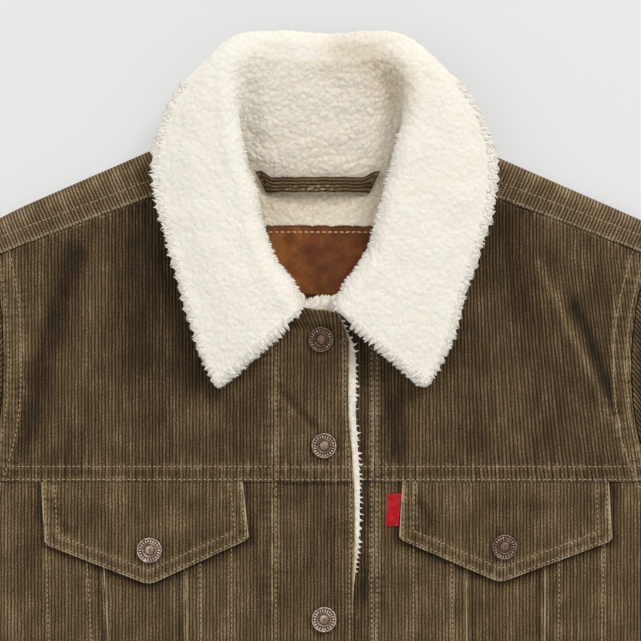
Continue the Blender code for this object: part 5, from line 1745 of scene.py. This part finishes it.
def add_button(node, x, y, seat, seed):
    """A turned tack button with a knurled band between its rim and its inner ring."""
    profile = np.array(BUTTON_PROFILE)
    angle = np.linspace(0, math.tau, BUTTON_SIDES, endpoint=False)
    tilt = np.random.default_rng(seed).uniform(-0.035, 0.035, 2)
    radius, height = profile[1:, :1], profile[1:, 1:]
    band = smoothstep((radius - 4.9) / 0.3) * smoothstep((6.9 - radius) / 0.3)
    ticks = band * np.cos(BUTTON_TICKS * angle)
    ring_x, ring_y = radius * np.cos(angle), radius * np.sin(angle)
    ring_z = height + 0.14 * ticks * (height > 1.5) + ring_x * tilt[0] + ring_y * tilt[1]
    base = seat + SEAM
    rings = grid(x + ring_x, y + ring_y, base + ring_z)
    points = np.concatenate([rings.reshape(-1, 3), [[x, y, base + profile[0, 1]], [x, y, base]]])
    ids = np.arange(ring_z.size).reshape(ring_z.shape)
    closed = np.concatenate([ids, ids[:, :1]], axis=1)
    middle, foot = np.full((2, BUTTON_SIDES), [[ids.size], [ids.size + 1]])
    caps = [np.stack([closed[0, 1:], closed[0, :-1], middle], axis=-1)]
    caps.append(np.stack([closed[-1, :-1], closed[-1, 1:], foot], axis=-1))
    # Painted light and shade: raised knurl ticks lighter, hollows darker, the rings, and a lit middle on top.
    bright = 0.5 + POLISH_AND_SHADE.get(node, 0) + 0.5 * ticks - 0.02 * band
    for ring, gain, half_width in BUTTON_LIGHT_AND_SHADE:
        bright = bright + gain * hump(radius - ring, half_width)
    wear_and_painted_light = np.concatenate([bright.ravel(), [0.66, 0.3]])
    item = make_mesh(node + "_metal", points, [grid_faces(closed), np.concatenate(caps)], "copper", wear_and_painted_light=wear_and_painted_light)
    dress(node)


def build_buttons():
    for i, (x, y) in enumerate(FRONT_BUTTONS):
        on_cloth = front_top(np.array(x), y) + placket_lift(x)
        add_button(f"front_button_{i + 1}", x, y, BAND_TOP + BAND_WALL + SEAM if y < WAIST_Y else on_cloth, i)
    for name, (x, y) in FLAP_BUTTONS.items():
        add_button("flap_button_" + name, x, y, front_top(np.array(x), y) + SEAM + FLAP_WALL + FLAP_CURL, 11)
    for name, side in SIDES.items():
        corner, across, ahead = sleeve_frame(side)[4:]
        spot = corner + across / np.linalg.norm(across) * CUFF_BUTTON_ACROSS + ahead * 0.5 * CUFF_LENGTH
        add_button("cuff_button_" + name, *spot, 3 * CUFF_WALL + 2 * SEAM, 21)


# ---- Camera, lights and floor ----


def build_stage():
    scene = bpy.context.scene
    scene.view_settings.view_transform = "Standard"
    bpy.ops.mesh.primitive_plane_add(size=12, location=(0, 0, -0.0002))
    floor = bpy.context.object
    floor.name = "floor"
    floor.data.materials.append(paper_floor())

    scene.world = bpy.data.worlds.new("studio")
    scene.world.use_nodes = True
    color, strength = scene.world.node_tree.nodes["Background"].inputs[:2]
    color.default_value = (1, 1, 1, 1)
    strength.default_value = SKY_STRENGTH

    for name, spot, size, power, color in LIGHTS:
        light = bpy.data.lights.new(name, "AREA")
        light.size, light.energy, light.color = size, power, color
        lamp = bpy.data.objects.new(name, light)
        scene.collection.objects.link(lamp)
        lamp.location = spot
        lamp.rotation_euler = (Vector(LIGHT_TARGET) - Vector(spot)).to_track_quat("-Z", "Y").to_euler()

    camera = bpy.data.cameras.new("camera")
    camera.sensor_width, camera.lens = 36, 120
    holder = bpy.data.objects.new("camera", camera)
    scene.collection.objects.link(holder)
    x, y, z = VIEW_MIDDLE
    holder.location = (x, y, z + camera.lens / camera.sensor_width * VIEW_WIDTH)
    scene.camera = holder


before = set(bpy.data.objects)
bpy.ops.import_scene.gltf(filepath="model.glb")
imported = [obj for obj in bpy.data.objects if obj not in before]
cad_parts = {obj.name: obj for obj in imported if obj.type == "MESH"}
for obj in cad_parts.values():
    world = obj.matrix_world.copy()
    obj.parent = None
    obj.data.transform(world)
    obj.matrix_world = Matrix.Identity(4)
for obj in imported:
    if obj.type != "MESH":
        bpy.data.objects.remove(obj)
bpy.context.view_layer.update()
# Both corduroys colour the valleys between the wales dark as painted shade; the flat one has its wales in the
# bump alone.
MATERIALS = {
    "corduroy": corduroy("corduroy_wales", 0.25),
    "corduroy_flat": corduroy("corduroy_bump_wales_painted_shade", 1),
    "sherpa": sherpa(),
    "tuft": fur_strand(),
    "thread": thread("olive_thread", (136, 117, 86), (186, 165, 128)),
    "tan_thread": thread("tan_thread", (200, 160, 104), (232, 200, 144)),
    "leather": leather(),
    "ribbon": ribbon(),
    "copper": copper(),
}
build_chests()
build_lower_fronts()
build_plackets()
build_flaps()
build_back()
build_yoke()
build_sleeves()
build_bands()
build_collar_top()
build_collar_under()
build_back_lining()
build_left_lining()
build_right_lining()
build_loop()
build_patch()
build_tab()
build_buttons()
build_stage()
